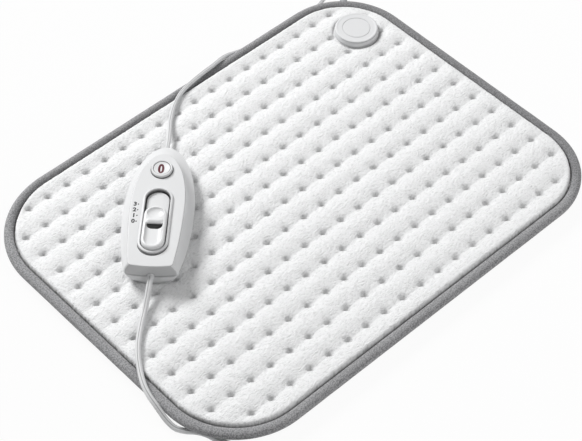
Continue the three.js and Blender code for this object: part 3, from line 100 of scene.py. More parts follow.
class Bench:
    """Blender's own modelling tools, one piece at a time, sizes in millimetres."""

    weld = 2e-6

    def clear(self) -> None:
        """Leave edit mode and select nothing."""
        if bpy.context.mode != "OBJECT":
            bpy.ops.object.mode_set(mode="OBJECT")
        bpy.ops.object.select_all(action="DESELECT")

    def pick(self, piece: Piece) -> None:
        """Select one piece alone and make it active."""
        self.clear()
        piece.select_set(True)
        bpy.context.view_layer.objects.active = piece

    def edit(self, piece: Piece) -> None:
        """Open one piece in edit mode with all of it selected."""
        self.pick(piece)
        bpy.ops.object.mode_set(mode="EDIT")
        bpy.ops.mesh.select_all(action="SELECT")

    def named(self, name: str) -> Piece:
        """Name the active object and its mesh, and return it."""
        piece = bpy.context.object
        piece.name = name
        piece.data.name = name
        return piece

    def loft(self, name: str, rings: list[Ring], open_ends: bool = False) -> Piece:
        """A skin through rings of equal count, extruded ring by ring.

        Args:
            name: Name of the piece.
            rings: Arrays of points in millimetres, all of one length.
            open_ends: True for a bare skin with neither end filled.

        Returns:
            The piece, in object mode.
        """
        self.clear()
        fill = "NOTHING" if open_ends else "NGON"
        bpy.ops.mesh.primitive_circle_add(vertices=len(rings[0]), radius=MM, fill_type=fill)
        piece = self.named(name)
        seats = piece.data.attributes.new("seat", "INT", "POINT")
        seats.data.foreach_set("value", np.arange(len(rings[0]), dtype=np.int32))
        piece.data.vertices.foreach_set("co", (np.asarray(rings[0]) * MM).ravel())
        self.edit(piece)
        for ring in rings[1:]:
            bpy.ops.mesh.extrude_region_move()
            body = bmesh.from_edit_mesh(piece.data)
            seat = body.verts.layers.int["seat"]
            for vertex in body.verts:
                if vertex.select:
                    vertex.co = Vector(ring[vertex[seat]]) * MM
            bmesh.update_edit_mesh(piece.data)
        bpy.ops.mesh.select_all(action="SELECT")
        bpy.ops.mesh.normals_make_consistent(inside=False)
        self.clear()
        piece.data.attributes.remove(piece.data.attributes["seat"])
        return piece

    def rod(self, name: str, radius: float, low: Vector, high: Vector, sides: int = 32) -> Piece:
        """A round bar between two places.

        Args:
            name: Name of the piece.
            radius: Its radius.
            low: Middle of one end.
            high: Middle of the other end.
            sides: How many sides it has.

        Returns:
            The piece.
        """
        axis = Vector(high) - Vector(low)
        turn = axis.to_track_quat("Z", "Y")
        rings = []
        for along in (0.0, axis.length):
            ring = circle(radius, along, sides)
            rings.append(np.array([turn @ Vector(p) + Vector(low) for p in ring]))
        return self.loft(name, rings)

    def block(self, name: str, low: Triple, high: Triple) -> Piece:
        """A plain block between two corners, as a tool body."""
        (a, b, c), (d, e, f) = low, high
        square = [(a, b), (d, b), (d, e), (a, e)]
        return self.loft(name, [np.array([(x, y, z) for x, y in square]) for z in (c, f)])

    def work(self, piece: Piece, tool: Piece, cut: Cut) -> None:
        """Apply a tool body to a piece and throw the tool away.

        Args:
            piece: The piece that is worked.
            tool: The body that cuts it or joins it.
            cut: Whether the tool takes away or adds.
        """
        self.pick(piece)
        modifier = piece.modifiers.new("work", "BOOLEAN")
        modifier.operation = cut.value
        modifier.solver = "EXACT"
        modifier.object = tool
        bpy.ops.object.modifier_apply(modifier=modifier.name)
        bpy.data.objects.remove(tool, do_unlink=True)

    def form(self, piece: Piece, name: str, rings: list[Ring], cut: Cut) -> None:
        """Work a piece with a tool body that is lofted through these rings."""
        self.work(piece, self.loft(name, rings), cut)

    def put(self, piece: Piece, matrix: Matrix) -> None:
        """Bring a piece to its place, in metres, and apply that to its mesh."""
        self.pick(piece)
        piece.matrix_world = matrix
        bpy.ops.object.transform_apply(location=True, rotation=True, scale=True)

    def modify(self, piece: Piece, kind: str, **settings: Any) -> None:
        """Add one modifier with these settings and apply it."""
        self.pick(piece)
        modifier = piece.modifiers.new(kind.title(), kind)
        for key, value in settings.items():
            setattr(modifier, key, value)
        bpy.ops.object.modifier_apply(modifier=modifier.name)

    def settle(
        self,
        piece: Piece,
        matrix: Matrix | None = None,
        sharp: float = 32.0,
        weighted: bool = False,
    ) -> Piece:
        """Bring a piece to its place and smooth its faces up to an angle.

        Args:
            piece: The piece.
            matrix: Its place, in metres, applied to its mesh.
            sharp: Angle above which an edge stays sharp, in degrees.
            weighted: Whether flat faces keep their own direction.

        Returns:
            The same piece.
        """
        if matrix is not None:
            self.put(piece, matrix)
        self.edit(piece)
        bpy.ops.mesh.remove_doubles(threshold=self.weld)
        bpy.ops.object.mode_set(mode="OBJECT")
        bpy.ops.object.shade_smooth_by_angle(angle=math.radians(sharp))
        if weighted:
            self.modify(piece, "WEIGHTED_NORMAL", keep_sharp=True)
        return piece

    def reshape(self, piece: Piece, move: Callable[[Array], Array]) -> None:
        """Move every point of a piece by hand.

        Args:
            piece: The piece.
            move: Takes the points in metres and gives them back moved.
        """
        count = len(piece.data.vertices)
        points = np.empty(count * 3)
        piece.data.vertices.foreach_get("co", points)
        points = move(points.reshape(-1, 3))
        piece.data.vertices.foreach_set("co", points.ravel())
        piece.data.update()

    def mark(self, piece: Piece, name: str, worth: Callable[[Array, Array], Array]) -> None:
        """Let every corner of every face carry a number of its own.

        Args:
            piece: The piece.
            name: What the number is called.
            worth: Takes the corners in millimetres with their faces' directions and
                gives their numbers.
        """
        mesh = piece.data
        points = np.empty(len(mesh.vertices) * 3)
        mesh.vertices.foreach_get("co", points)
        corner = np.empty(len(mesh.loops), dtype=np.int32)
        mesh.loops.foreach_get("vertex_index", corner)
        facing = np.empty(len(mesh.polygons) * 3)
        mesh.polygons.foreach_get("normal", facing)
        count = np.empty(len(mesh.polygons), dtype=np.int32)
        mesh.polygons.foreach_get("loop_total", count)
        places = points.reshape(-1, 3)[corner] / MM
        numbers = worth(places, np.repeat(facing.reshape(-1, 3), count, axis=0))
        layer = mesh.attributes.new(name, "FLOAT", "CORNER")
        layer.data.foreach_set("value", np.asarray(numbers, dtype=np.float32))


BENCH = Bench()


def moved(x: float, y: float, z: float) -> Matrix:
    """The matrix of a move given in millimetres."""
    return Matrix.Translation(Vector((x, y, z)) * MM)


def turned(degrees: float, axis: str) -> Matrix:
    """The matrix of a turn about an axis."""
    return Matrix.Rotation(math.radians(degrees), 4, axis)


def full_turn(steps: int) -> Array:
    """Even angles once round."""
    return np.arange(steps) * 2 * math.pi / steps


def quarter_turn(first: int = 1, steps: int = 5) -> list[tuple[float, float]]:
    """Cosine and sine at even steps of a quarter turn, for a rounded edge."""
    angles = [math.radians(90 * step / steps) for step in range(first, steps + 1)]
    return [(math.cos(angle), math.sin(angle)) for angle in angles]


def bent(value: Array, power: float) -> Array:
    """Sines or cosines raised to a power, each with its own sign."""
    return np.sign(value) * np.abs(value) ** power


def circle(radius: float, z: float, sides: int = 64, x: float = 0.0, y: float = 0.0) -> Ring:
    """A level circle of points, anticlockwise, in millimetres."""
    angle = full_turn(sides)
    return np.stack(
        [x + radius * np.cos(angle), y + radius * np.sin(angle), np.full(sides, z)], axis=1
    )


def turned_rings(profile: Pairs, sides: int = 64) -> list[Ring]:
    """Rings of a turned piece from its profile of radius and height."""
    return [circle(radius, z, sides) for radius, z in profile]


def stadium(half: float, front: float, back: float, z: float, steps: int = 20) -> Ring:
    """A level ring with two round ends, anticlockwise from its left front."""
    first = math.pi * (1 + np.arange(steps + 1) / steps)
    second = math.pi * np.arange(steps + 1) / steps
    x = np.concatenate([half * np.cos(first), half * np.cos(second)])
    y = np.concatenate([front + half + half * np.sin(first), back - half + half * np.sin(second)])
    return np.stack([x, y, np.full(len(x), z)], axis=1)


def smooth(value: Array) -> Array:
    """The soft step from 0 to 1."""
    share = np.clip(value, 0.0, 1.0)
    return share * share * (3 - 2 * share)


def through(points: Route, least: int, step: float) -> Array:
    """A smooth line through a route's points, evenly eased between them.

    Args:
        points: The route, in millimetres.
        least: Fewest steps between two of its points.
        step: Longest step, in millimetres.

    Returns:
        The points of the line, in millimetres.
    """
    knots = np.asarray(points, float)
    knots = np.vstack([2 * knots[0] - knots[1], knots, 2 * knots[-1] - knots[-2]])
    line = []
    for a, b, c, d in zip(knots, knots[1:], knots[2:], knots[3:]):
        first, middle, last = (
            math.sqrt(np.linalg.norm(q - p)) for p, q in ((a, b), (b, c), (c, d))
        )
        leave = (b - a) / first - (c - a) / (first + middle) + (c - b) / middle
        reach = (c - b) / middle - (d - b) / (middle + last) + (d - c) / last
        leave, reach = leave * middle, reach * middle
        steps = max(least, math.ceil(np.linalg.norm(c - b) / step))
        for i in range(steps):
            t = i / steps
            line.append(
                b
                + leave * t
                + (3 * (c - b) - 2 * leave - reach) * t**2
                + (2 * (b - c) + leave + reach) * t**3
            )
    line.append(knots[-2])
    return np.array(line)


# ---------------------------------------------------------------- shader maths


class Value:
    """One number socket, wrapped so that sums on it read as sums."""

    def __init__(self, graph: "Graph", socket: Socket) -> None:
        """Hold a socket of a graph."""
        self.graph = graph
        self.socket = socket

    def _math(self, operation: str, *terms: Any) -> "Value":
        """Add one Math node on these terms and return its result."""
        node = self.graph.node(
            "ShaderNodeMath", {"operation": operation}, dict(enumerate(terms))
        )
        return Value(self.graph, node.outputs[0])

    def __add__(self, other: Any) -> "Value":
        """This plus the other."""
        return self._math("ADD", self, other)

    __radd__ = __add__

    def __sub__(self, other: Any) -> "Value":
        """This minus the other."""
        return self._math("SUBTRACT", self, other)

    def __mul__(self, other: Any) -> "Value":
        """This times the other."""
        return self._math("MULTIPLY", self, other)

    __rmul__ = __mul__

    def clamp(self) -> "Value":
        """This held between 0 and 1."""
        return self._math("MAXIMUM", self._math("MINIMUM", self, 1.0), 0.0)


class Graph:
    """The nodes of one material, or of the world."""

    def __init__(self, name: str, owner: Any = None) -> None:
        """Start empty, in a new material of this name where no owner is given."""
        self.material = owner or bpy.data.materials.new(name)
        self.material.use_nodes = True
        self.tree = self.material.node_tree
        self.tree.nodes.clear()
        self.place: Socket | None = None

    def node(
        self, kind: str, settings: dict[str, Any] | None = None, sockets: dict | None = None
    ) -> bpy.types.Node:
        """Add a node, with its settings first and its sockets after them.

        Args:
            kind: The node's type.
            settings: Its properties; "stops" fills a colour ramp.
            sockets: Values or links by the input's name or number.

        Returns:
            The node.
        """
        node = self.tree.nodes.new(kind)
        for key, value in (settings or {}).items():
            if key == "stops":
                self._stops(node, value)
            else:
                setattr(node, key, value)
        for key, value in (sockets or {}).items():
            if isinstance(value, Value):
                value = value.socket
            if isinstance(value, Socket):
                self.tree.links.new(value, node.inputs[key])
            else:
                node.inputs[key].default_value = value
        return node

    def _stops(self, node: bpy.types.Node, stops: list[tuple[float, float]]) -> None:
        """Fill a ramp with grey stops of place and brightness."""
        ramp = node.color_ramp
        while len(ramp.elements) < len(stops):
            ramp.elements.new(1.0)
        for element, (place, level) in zip(ramp.elements, stops):
            element.position = place
            element.color = (level, level, level, 1.0)

    def at(self, scale: Triple = (1.0, 1.0, 1.0), turn: float = 0.0) -> Socket:
        """Places on the piece, in its own frame, scaled and turned about Z."""
        if self.place is None:
            self.place = self.node("ShaderNodeTexCoord").outputs["Object"]
        mapping = self.node(
            "ShaderNodeMapping",
            sockets={"Vector": self.place, "Scale": scale, "Rotation": (0.0, 0.0, turn)},
        )
        return mapping.outputs["Vector"]

    def noise(self, place: Socket, scale: float, detail: float = 2.0) -> Value:
        """A cloudy grain from 0 to 1."""
        node = self.node(
            "ShaderNodeTexNoise",
            sockets={"Vector": place, "Scale": scale, "Detail": detail, "Roughness": 0.6},
        )
        return Value(self, node.outputs[0])

    def own(self, name: str) -> Value:
        """A number that the piece's points carry under this name."""
        node = self.node("ShaderNodeAttribute", {"attribute_name": name})
        return Value(self, node.outputs["Fac"])

    def mix(self, share: Any, first: Any, second: Any) -> Socket:
        """A colour between two colours."""
        node = self.node(
            "ShaderNodeMix",
            {"data_type": "RGBA"},
            {"Factor": share, 6: first, 7: second},
        )
        return node.outputs[2]

    def tint(self, share: Any, colour: Colour, low: float, high: float = 1.0) -> Socket:
        """A colour between two levels of itself."""
        return self.mix(share, opaque(shade(colour, low)), opaque(shade(colour, high)))

    def dimmed(self, lit: Any, colour: Colour, level: float) -> Socket:
        """A lit colour that falls to a level of itself where the piece carries painted shade."""
        return self.mix(self.own("shade").clamp(), lit, opaque(shade(colour, level)))

    def bump(self, height: Value, depth: float, strength: float, under: Any = None) -> Socket:
        """A surface direction from a height, over another one where given."""
        sockets = {"Height": height, "Distance": depth, "Strength": strength}
        if under is not None:
            sockets["Normal"] = under
        return self.node("ShaderNodeBump", sockets=sockets).outputs["Normal"]

    def skin(self, **sockets: Any) -> Material:
        """Close the material with the one surface shader.

        Args:
            **sockets: Its inputs, with underscores for spaces.

        Returns:
            The finished material.
        """
        given = {key.replace("_", " "): value for key, value in sockets.items()}
        surface = self.node("ShaderNodeBsdfPrincipled", sockets=given)
        self.node("ShaderNodeOutputMaterial", sockets={"Surface": surface.outputs[0]})
        return self.material


def opaque(colour: Colour) -> tuple[float, float, float, float]:
    """A colour with full cover."""
    return (*colour, 1.0)


def shade(colour: Colour, by: float) -> Colour:
    """A colour made lighter or darker by a factor."""
    return tuple(min(channel * by, 1.0) for channel in colour)


# ---------------------------------------------------------------- finishes


@dataclass(frozen=True)
class FleeceFinish:
    """White plush pile: short nap that lies one way, matted here and there."""

    colour: Colour = (0.95, 0.954, 0.958)
    low: float = 0.8
    nap_scale: float = 760.0
    nap_stretch: Triple = (0.5, 1.15, 1.0)
    nap_turn: float = 0.62
    nap_depth: float = 0.0016
    tuft_scale: float = 210.0
    tuft_depth: float = 0.0016
    matted_scale: float = 38.0
    fleck_from: float = 0.34
    fleck_contrast: float = 7.0
    fleck_share: float = 0.8
    shaded: float = 0.2

    def material(self) -> Material:
        """Build the material."""
        g = Graph("fleece")
        nap = g.noise(g.at(self.nap_stretch), self.nap_scale, 3.0)
        tuft = g.noise(g.at((1.0, 0.8, 1.0), self.nap_turn), self.tuft_scale)
        matted = g.noise(g.at(), self.matted_scale)
        fleck = ((nap - self.fleck_from) * self.fleck_contrast).clamp()
        tone = (fleck * self.fleck_share + matted * (1 - self.fleck_share)).clamp()
        # Painted shade: the colour falls to a darker level of itself where the piece carries
        # painted shade.
        colour = g.dimmed(g.tint(tone, self.colour, self.low), self.colour, self.shaded)
        lying = g.bump(tuft, self.tuft_depth, 0.5)
        return g.skin(
            Base_Color=colour,
            Roughness=0.95,
            Sheen_Weight=0.12,
            Sheen_Roughness=0.5,
            Specular_IOR_Level=0.15,
            Normal=g.bump(nap, self.nap_depth, 0.8, lying),
        )


@dataclass(frozen=True)
class WovenFinish:
    """Woven cloth: fine ribs of two crossing yarns, heathered, a little uneven."""

    name: str
    colour: Colour
    rib: float = 0.9
    depth: float = 0.0002
    heather: float = 0.25
    millimetre_wave: float = 314.0
    yarn_scale: float = 900.0
    cloud_scale: float = 60.0
    fleck_contrast: float = 7.0
    fleck_share: float = 0.75
    shaded: float = 0.12

    def material(self) -> Material:
        """Build the material."""
        g = Graph(self.name)
        place = g.at()
        warp, weft = (
            g.node(
                "ShaderNodeTexWave",
                {"wave_type": "BANDS", "bands_direction": direction},
                {"Vector": place, "Scale": self.millimetre_wave / self.rib, "Distortion": 0.6},
            )
            for direction in "XY"
        )
        ribs = Value(g, warp.outputs["Fac"]) * Value(g, weft.outputs["Fac"])
        yarn = g.noise(place, self.yarn_scale, 3.0)
        cloud = g.noise(place, self.cloud_scale)
        fleck = ((yarn - 0.5) * self.fleck_contrast + 0.5).clamp()
        tone = (fleck * self.fleck_share + cloud * (1 - self.fleck_share)).clamp()
        lit = g.tint(tone, self.colour, 1.0 - self.heather, 1.0 + self.heather)
        # Painted shade: the colour falls to a darker level of itself where the piece carries
        # painted shade.
        colour = g.dimmed(lit, self.colour, self.shaded)
        return g.skin(
            Base_Color=colour,
            Roughness=0.9,
            Sheen_Weight=0.15,
            Specular_IOR_Level=0.2,
            Normal=g.bump(ribs + yarn * 0.8, self.depth, 0.6),
        )


@dataclass(frozen=True)
class MouldedFinish:
    """Moulded plastic with a fine spark grain and slightly uneven gloss."""

    name: str
    colour: Colour
    roughness: float = 0.42
    grain: float = 0.00003
    grain_scale: float = 2600.0
    cloud_scale: float = 45.0
    shaded: float = 0.08
    coat: float = 0.0

    def material(self) -> Material:
        """Build the material."""
        g = Graph(self.name)
        place = g.at()
        grain = g.noise(place, self.grain_scale)
        cloud = g.noise(place, self.cloud_scale, 3.0)
        lit = g.tint(cloud, self.colour, 0.975, 1.015)
        # Painted shade: the colour falls to a darker level of itself where the piece carries
        # painted shade.
        colour = g.dimmed(lit, self.colour, self.shaded)
        return g.skin(
            Base_Color=colour,
            Roughness=(cloud * 0.1 + (self.roughness - 0.05)).clamp(),
            Coat_Weight=self.coat,
            Specular_IOR_Level=0.45,
            Normal=g.bump(grain, self.grain, 0.5),
        )


@dataclass(frozen=True)
class MetalFinish:
    """Drawn or plated metal with fine lines and uneven tarnish."""

    name: str
    colour: Colour
    roughness: float = 0.28
    line_scale: float = 1800.0
    cloud_scale: float = 150.0

    def material(self) -> Material:
        """Build the material."""
        g = Graph(self.name)
        lines = g.noise(g.at((1.0, 0.08, 1.0)), self.line_scale)
        cloud = g.noise(g.at(), self.cloud_scale, 3.0)
        return g.skin(
            Base_Color=g.tint(cloud, self.colour, 0.85),
            Metallic=1.0,
            Roughness=(cloud * 0.2 + (self.roughness - 0.08)).clamp(),
            Normal=g.bump(lines, 0.00002, 0.5),
        )


@dataclass(frozen=True)
class WaddingFinish:
    """Loose fibre, spun or laid, seen only where the pad is opened."""

    name: str
    colour: Colour
    scale: float = 500.0

    def material(self) -> Material:
        """Build the material."""
        g = Graph(self.name)
        fibre = g.noise(g.at((1.0, 0.2, 1.0), 0.5), self.scale, 4.0)
        cross = g.noise(g.at((0.2, 1.0, 1.0), 0.3), self.scale * 0.8, 4.0)
        return g.skin(
            Base_Color=g.tint(fibre, self.colour, 0.82),
            Roughness=0.97,
            Specular_IOR_Level=0.1,
            Normal=g.bump(fibre + cross, 0.0006, 0.6),
        )


@dataclass(frozen=True)
class BoardFinish:
    """Green board with copper tracks under its lacquer."""

    colour: Colour = (0.03, 0.16, 0.07)
    track_colour: Colour = (0.09, 0.32, 0.12)
    track_scale: float = 190.0
    turn: float = 0.796

    def material(self) -> Material:
        """Build the material."""
        g = Graph("board")
        place = g.at(turn=self.turn)
        tracks = g.node(
            "ShaderNodeTexBrick",
            {"offset": 0.5},
            {
                "Vector": place,
                "Scale": self.track_scale,
                "Mortar Size": 0.05,
                "Color1": opaque((0.0, 0.0, 0.0)),
                "Color2": opaque((0.0, 0.0, 0.0)),
                "Mortar": opaque((1.0, 1.0, 1.0)),
            },
        )
        track = Value(g, tracks.outputs["Color"])
        grain = g.noise(place, 700.0)
        base = g.tint(grain, self.colour, 0.8)
        return g.skin(
            Base_Color=g.mix(track * 0.8, base, opaque(self.track_colour)),
            Roughness=0.35,
            Coat_Weight=0.4,
            Normal=g.bump(track + grain * 0.2, 0.0001, 0.4),
        )


def make_finishes() -> dict[str, Material]:
    """Make the materials of the whole part, each once, under the names of their slots."""
    finishes = [
        WovenFinish("tape", (0.31, 0.31, 0.317), heather=0.4),
        WovenFinish("cotton", (0.74, 0.74, 0.72), rib=1.3, depth=0.00035, heather=0.08),
        MouldedFinish("shell", (0.705, 0.71, 0.715), 0.4),
        MouldedFinish("knob", (0.75, 0.755, 0.76), 0.34, grain=0.00002),
        MouldedFinish("disc", (0.7, 0.705, 0.712), 0.45),
        MouldedFinish("jacket", (0.69, 0.695, 0.702), 0.38, 0.00004, 900.0),
        MouldedFinish("boot", (0.32, 0.325, 0.335), 0.55, 0.00005, 1200.0),
        MouldedFinish("black_plastic", (0.02, 0.021, 0.023), 0.5),
        MouldedFinish("red_print", (0.07, 0.0, 0.008), 0.5),
        MouldedFinish("grey_print", (0.02, 0.02, 0.022), 0.55),
        MouldedFinish("resistor", (0.45, 0.2, 0.07), 0.5),
        MouldedFinish("insulation", (0.56, 0.44, 0.25), 0.45, 0.00008, 1500.0),
        MouldedFinish("glass", (0.66, 0.72, 0.72), 0.08, coat=0.8),
        MetalFinish("steel", (0.6, 0.61, 0.63)),
        MetalFinish("brass", (0.72, 0.53, 0.24)),
        WaddingFinish("wadding", (0.86, 0.85, 0.8)),
        WaddingFinish("carrier", (0.7, 0.68, 0.6), 900.0),
    ]
    made = {"fleece": FleeceFinish().material()}
    made.update((finish.name, finish.material()) for finish in finishes)
    made["board"] = BoardFinish().material()
    return made


class Dresser:
    """Gives pieces their material and body."""

    def __init__(self, finishes: dict[str, Material]) -> None:
        """Hold the finishes."""
        self.finishes = finishes

    def dress(self, piece: Piece, finish: str, body: Body, *nodes: str, slot: str = "") -> Piece:
        """Dress a new piece and hang it on its body.

        Args:
            piece: The piece.
            finish: The name of its finish.
            body: The body that it moves with.
            *nodes: The solids that it stands for.
            slot: Not used.

        Returns:
            The same piece.
        """
        piece.data.materials.clear()
        piece.data.materials.append(self.finishes[finish])
        if nodes:
            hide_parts(*nodes)
        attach(piece, body.value)
        LOG.info("%s: %d faces", piece.name, len(piece.data.polygons))
        return piece

    def coat(self, node: str, finish: str) -> None:
        """Give a solid that stays its material."""
        piece = bpy.data.objects[node]
        piece.data.materials.clear()
        piece.data.materials.append(self.finishes[finish])


# ---------------------------------------------------------------- studio


@dataclass
class Studio:
    """Camera, floor and lamps, in metres."""

    camera_place: tuple[float, float, float] = (-0.67193, -0.72124, 1.14704)
    camera_view: tuple[float, float, float] = (0.4388, 0.4738, -0.7635)
    camera_lens: float = 110.0
    key_place: tuple[float, float, float] = (-0.19, 1.9, 1.71)
    key_size: float = 0.9
    key_power: float = 65.0
    fill_place: tuple[float, float, float] = (0.5, -1.3, 1.25)
    fill_power: float = 10.5
    sky: float = 0.24
    floor_reach: float = 6.0

    def camera(self) -> None:
        """Stand the camera where the photograph was taken from."""
        lens = bpy.data.cameras.new("camera")
        lens.lens = self.camera_lens
        lens.sensor_width = 36.0
        lens.sensor_fit = "HORIZONTAL"
        lens.clip_start, lens.clip_end = 0.05, 30.0
        camera = bpy.data.objects.new("camera", lens)
        bpy.context.collection.objects.link(camera)
        camera.location = self.camera_place
        view = Vector(self.camera_view)
        camera.rotation_euler = view.to_track_quat("-Z", "Y").to_euler()
        bpy.context.scene.camera = camera

    def lamp(self, name: str, place: tuple, size: float, power: float) -> None:
        """Hang one square soft lamp that looks at the pad."""
        light = bpy.data.lights.new(name, "AREA")
        light.shape = "SQUARE"
        light.size = size
        light.energy = power
        lamp = bpy.data.objects.new(name, light)
        bpy.context.collection.objects.link(lamp)
        lamp.location = place
        lamp.rotation_euler = (-Vector(place)).to_track_quat("-Z", "Y").to_euler()

    def seen_straight(self, g: Graph) -> Value:
        """1 where a surface is seen by the camera or in a reflection."""
        path = g.node("ShaderNodeLightPath")
        straight = Value(g, path.outputs["Is Camera Ray"])
        mirrored = Value(g, path.outputs["Is Glossy Ray"])
        passed = Value(g, path.outputs["Is Transmission Ray"])
        return (straight + mirrored + passed).clamp()

    def floor(self) -> None:
        """Lay a pale floor that stays white and keeps the object's shadow."""
        BENCH.clear()
        bpy.ops.mesh.primitive_plane_add(size=2 * self.floor_reach, location=(0, 0, -0.0004))
        floor = BENCH.named("floor")
        g = Graph("floor")
        paper = g.node(
            "ShaderNodeBsdfDiffuse", sockets={"Color": (0.88, 0.88, 0.88, 1.0), "Roughness": 1.0}
        )
        glow = g.node(
            "ShaderNodeEmission", sockets={"Color": (1.0, 1.0, 1.0, 1.0), "Strength": 1.0}
        )
        share = self.seen_straight(g) * 0.94
        both = g.node(
            "ShaderNodeMixShader", sockets={0: share, 1: paper.outputs[0], 2: glow.outputs[0]}
        )
        g.node("ShaderNodeOutputMaterial", sockets={"Surface": both.outputs[0]})
        floor.data.materials.append(g.material)

    def world(self) -> None:
        """Light the room evenly, with a white backdrop."""
        bpy.context.scene.world = bpy.data.worlds.new("room")
        g = Graph("room", bpy.context.scene.world)
        white = (1.0, 1.0, 1.0, 1.0)
        room = g.node("ShaderNodeBackground", sockets={"Color": white, "Strength": self.sky})
        backdrop = g.node("ShaderNodeBackground", sockets={"Color": white, "Strength": 1.0})
        seen = self.seen_straight(g)
        both = g.node(
            "ShaderNodeMixShader", sockets={0: seen, 1: room.outputs[0], 2: backdrop.outputs[0]}
        )
        g.node("ShaderNodeOutputWorld", sockets={"Surface": both.outputs[0]})

    def build(self) -> None:
        """Set up the whole studio."""
        scene = bpy.context.scene
        scene.view_settings.view_transform = "Standard"
        self.camera()
        self.floor()
        self.world()
        self.lamp("key_lamp", self.key_place, self.key_size, self.key_power)
        self.lamp("fill_lamp", self.fill_place, 1.4, self.fill_power)
        LOG.info("studio ready")


# ---------------------------------------------------------------- controller's place


@dataclass
class Seat:
    """Where the controller lies on the pad, in millimetres and degrees."""

    x: float = -150.03
    y: float = 8.6
    z: float = 14.8
    turn: float = -45.6

    def matrix(self) -> Matrix:
        """From the controller's own frame to the part's, in metres."""
        return moved(self.x, self.y, self.z) @ turned(self.turn, "Z")

    def place(self, x: float, y: float, z: float) -> tuple[float, float, float]:
        """A place on the controller in the part's frame, in millimetres."""
        return tuple(self.matrix() @ (Vector((x, y, z)) * MM) / MM)

    def away(self, facing: Array) -> Array:
        """How much each direction points out of the controller's end face."""
        return facing @ np.array(self.matrix().to_3x3()) @ np.array([0.0, -1.0, 0.0])

    def local(self, points: Array) -> Array:
        """Places of the part in the controller's own frame, all in millimetres."""
        turn = np.array(self.matrix().to_3x3())
        return (points - np.array([self.x, self.y, self.z])) @ turn


SEAT = Seat()


# ---------------------------------------------------------------- leads


@dataclass
class LeadJacket:
    """A twin jacket: nearly round, with a groove above and below."""

    diameter: float
    groove: float = 0.16
    groove_width: float = 0.27
    groove_angle: float = 78.0
    # Painted shade at the bottom of the grooves.
    groove_dusk: float = 0.62
    sides: int = 26

    def section(self) -> Array:
        """Points of the section, sideways and upwards, in millimetres."""
        even = full_turn(self.sides)
        first = math.radians(self.groove_angle)
        near = [first + i * self.groove_width * 0.5 for i in (-2, -1, 0, 1, 2)]
        near += [angle + math.pi for angle in near]
        spread = [a for a in even if min(abs(self._off(a, n)) for n in near) > 0.12]
        angles = np.array(sorted([*(a % (2 * math.pi) for a in near), *spread]))
        dip = np.zeros_like(angles)
        for middle in (first, first + math.pi):
            off = self._off(angles, middle)
            dip += np.exp(-((off / self.groove_width) ** 2) * 2.2)
        radius = self.diameter / 2 * (1 - self.groove * dip)
        return np.stack([radius * np.cos(angles), radius * np.sin(angles)], axis=1)

    def _off(self, angle: Any, middle: float) -> Any:
        """Signed turn from one angle to another."""
        return (angle - middle + math.pi) % (2 * math.pi) - math.pi

    def tube(self, name: str, line: Array) -> Piece:
        """A closed tube of this section along a line.

        Args:
            name: Name of the piece.
            line: Its middle line, in millimetres.

        Returns:
            The piece.
        """
        section = self.section()
        along = np.gradient(line, axis=0)
        along /= np.linalg.norm(along, axis=1)[:, None]
        across = np.cross(along, (0.0, 0.0, 1.0))
        across /= np.linalg.norm(across, axis=1)[:, None]
        over = np.cross(across, along)
        rings = (
            line[:, None]
            + across[:, None] * section[None, :, :1]
            + over[:, None] * section[None, :, 1:]
        )
        count, sides = rings.shape[:2]
        faces = []
        for i in range(count - 1):
            near, far = i * sides, (i + 1) * sides
            for j in range(sides):
                k = (j + 1) % sides
                faces.append((near + j, near + k, far + k, far + j))
        faces.append(tuple(range(sides))[::-1])
        faces.append(tuple((count - 1) * sides + j for j in range(sides)))
        mesh = bpy.data.meshes.new(name)
        mesh.from_pydata((rings.reshape(-1, 3) * MM).tolist(), [], faces)
        piece = bpy.data.objects.new(name, mesh)
        bpy.context.collection.objects.link(piece)
        BENCH.edit(piece)
        bpy.ops.mesh.normals_make_consistent(inside=False)
        BENCH.clear()
        BENCH.settle(piece, sharp=50.0)
        depth = 1 - 2 * np.linalg.norm(section, axis=1) / self.diameter

        def in_groove(points: Array, facing: Array) -> Array:
            """Painted shade in the grooves, darker the deeper each place lies in one."""
            corner = np.empty(len(points), dtype=np.int32)
            mesh.loops.foreach_get("vertex_index", corner)
            return depth[corner % sides] / self.groove * self.groove_dusk

        BENCH.mark(piece, "shade", in_groove)
        return piece


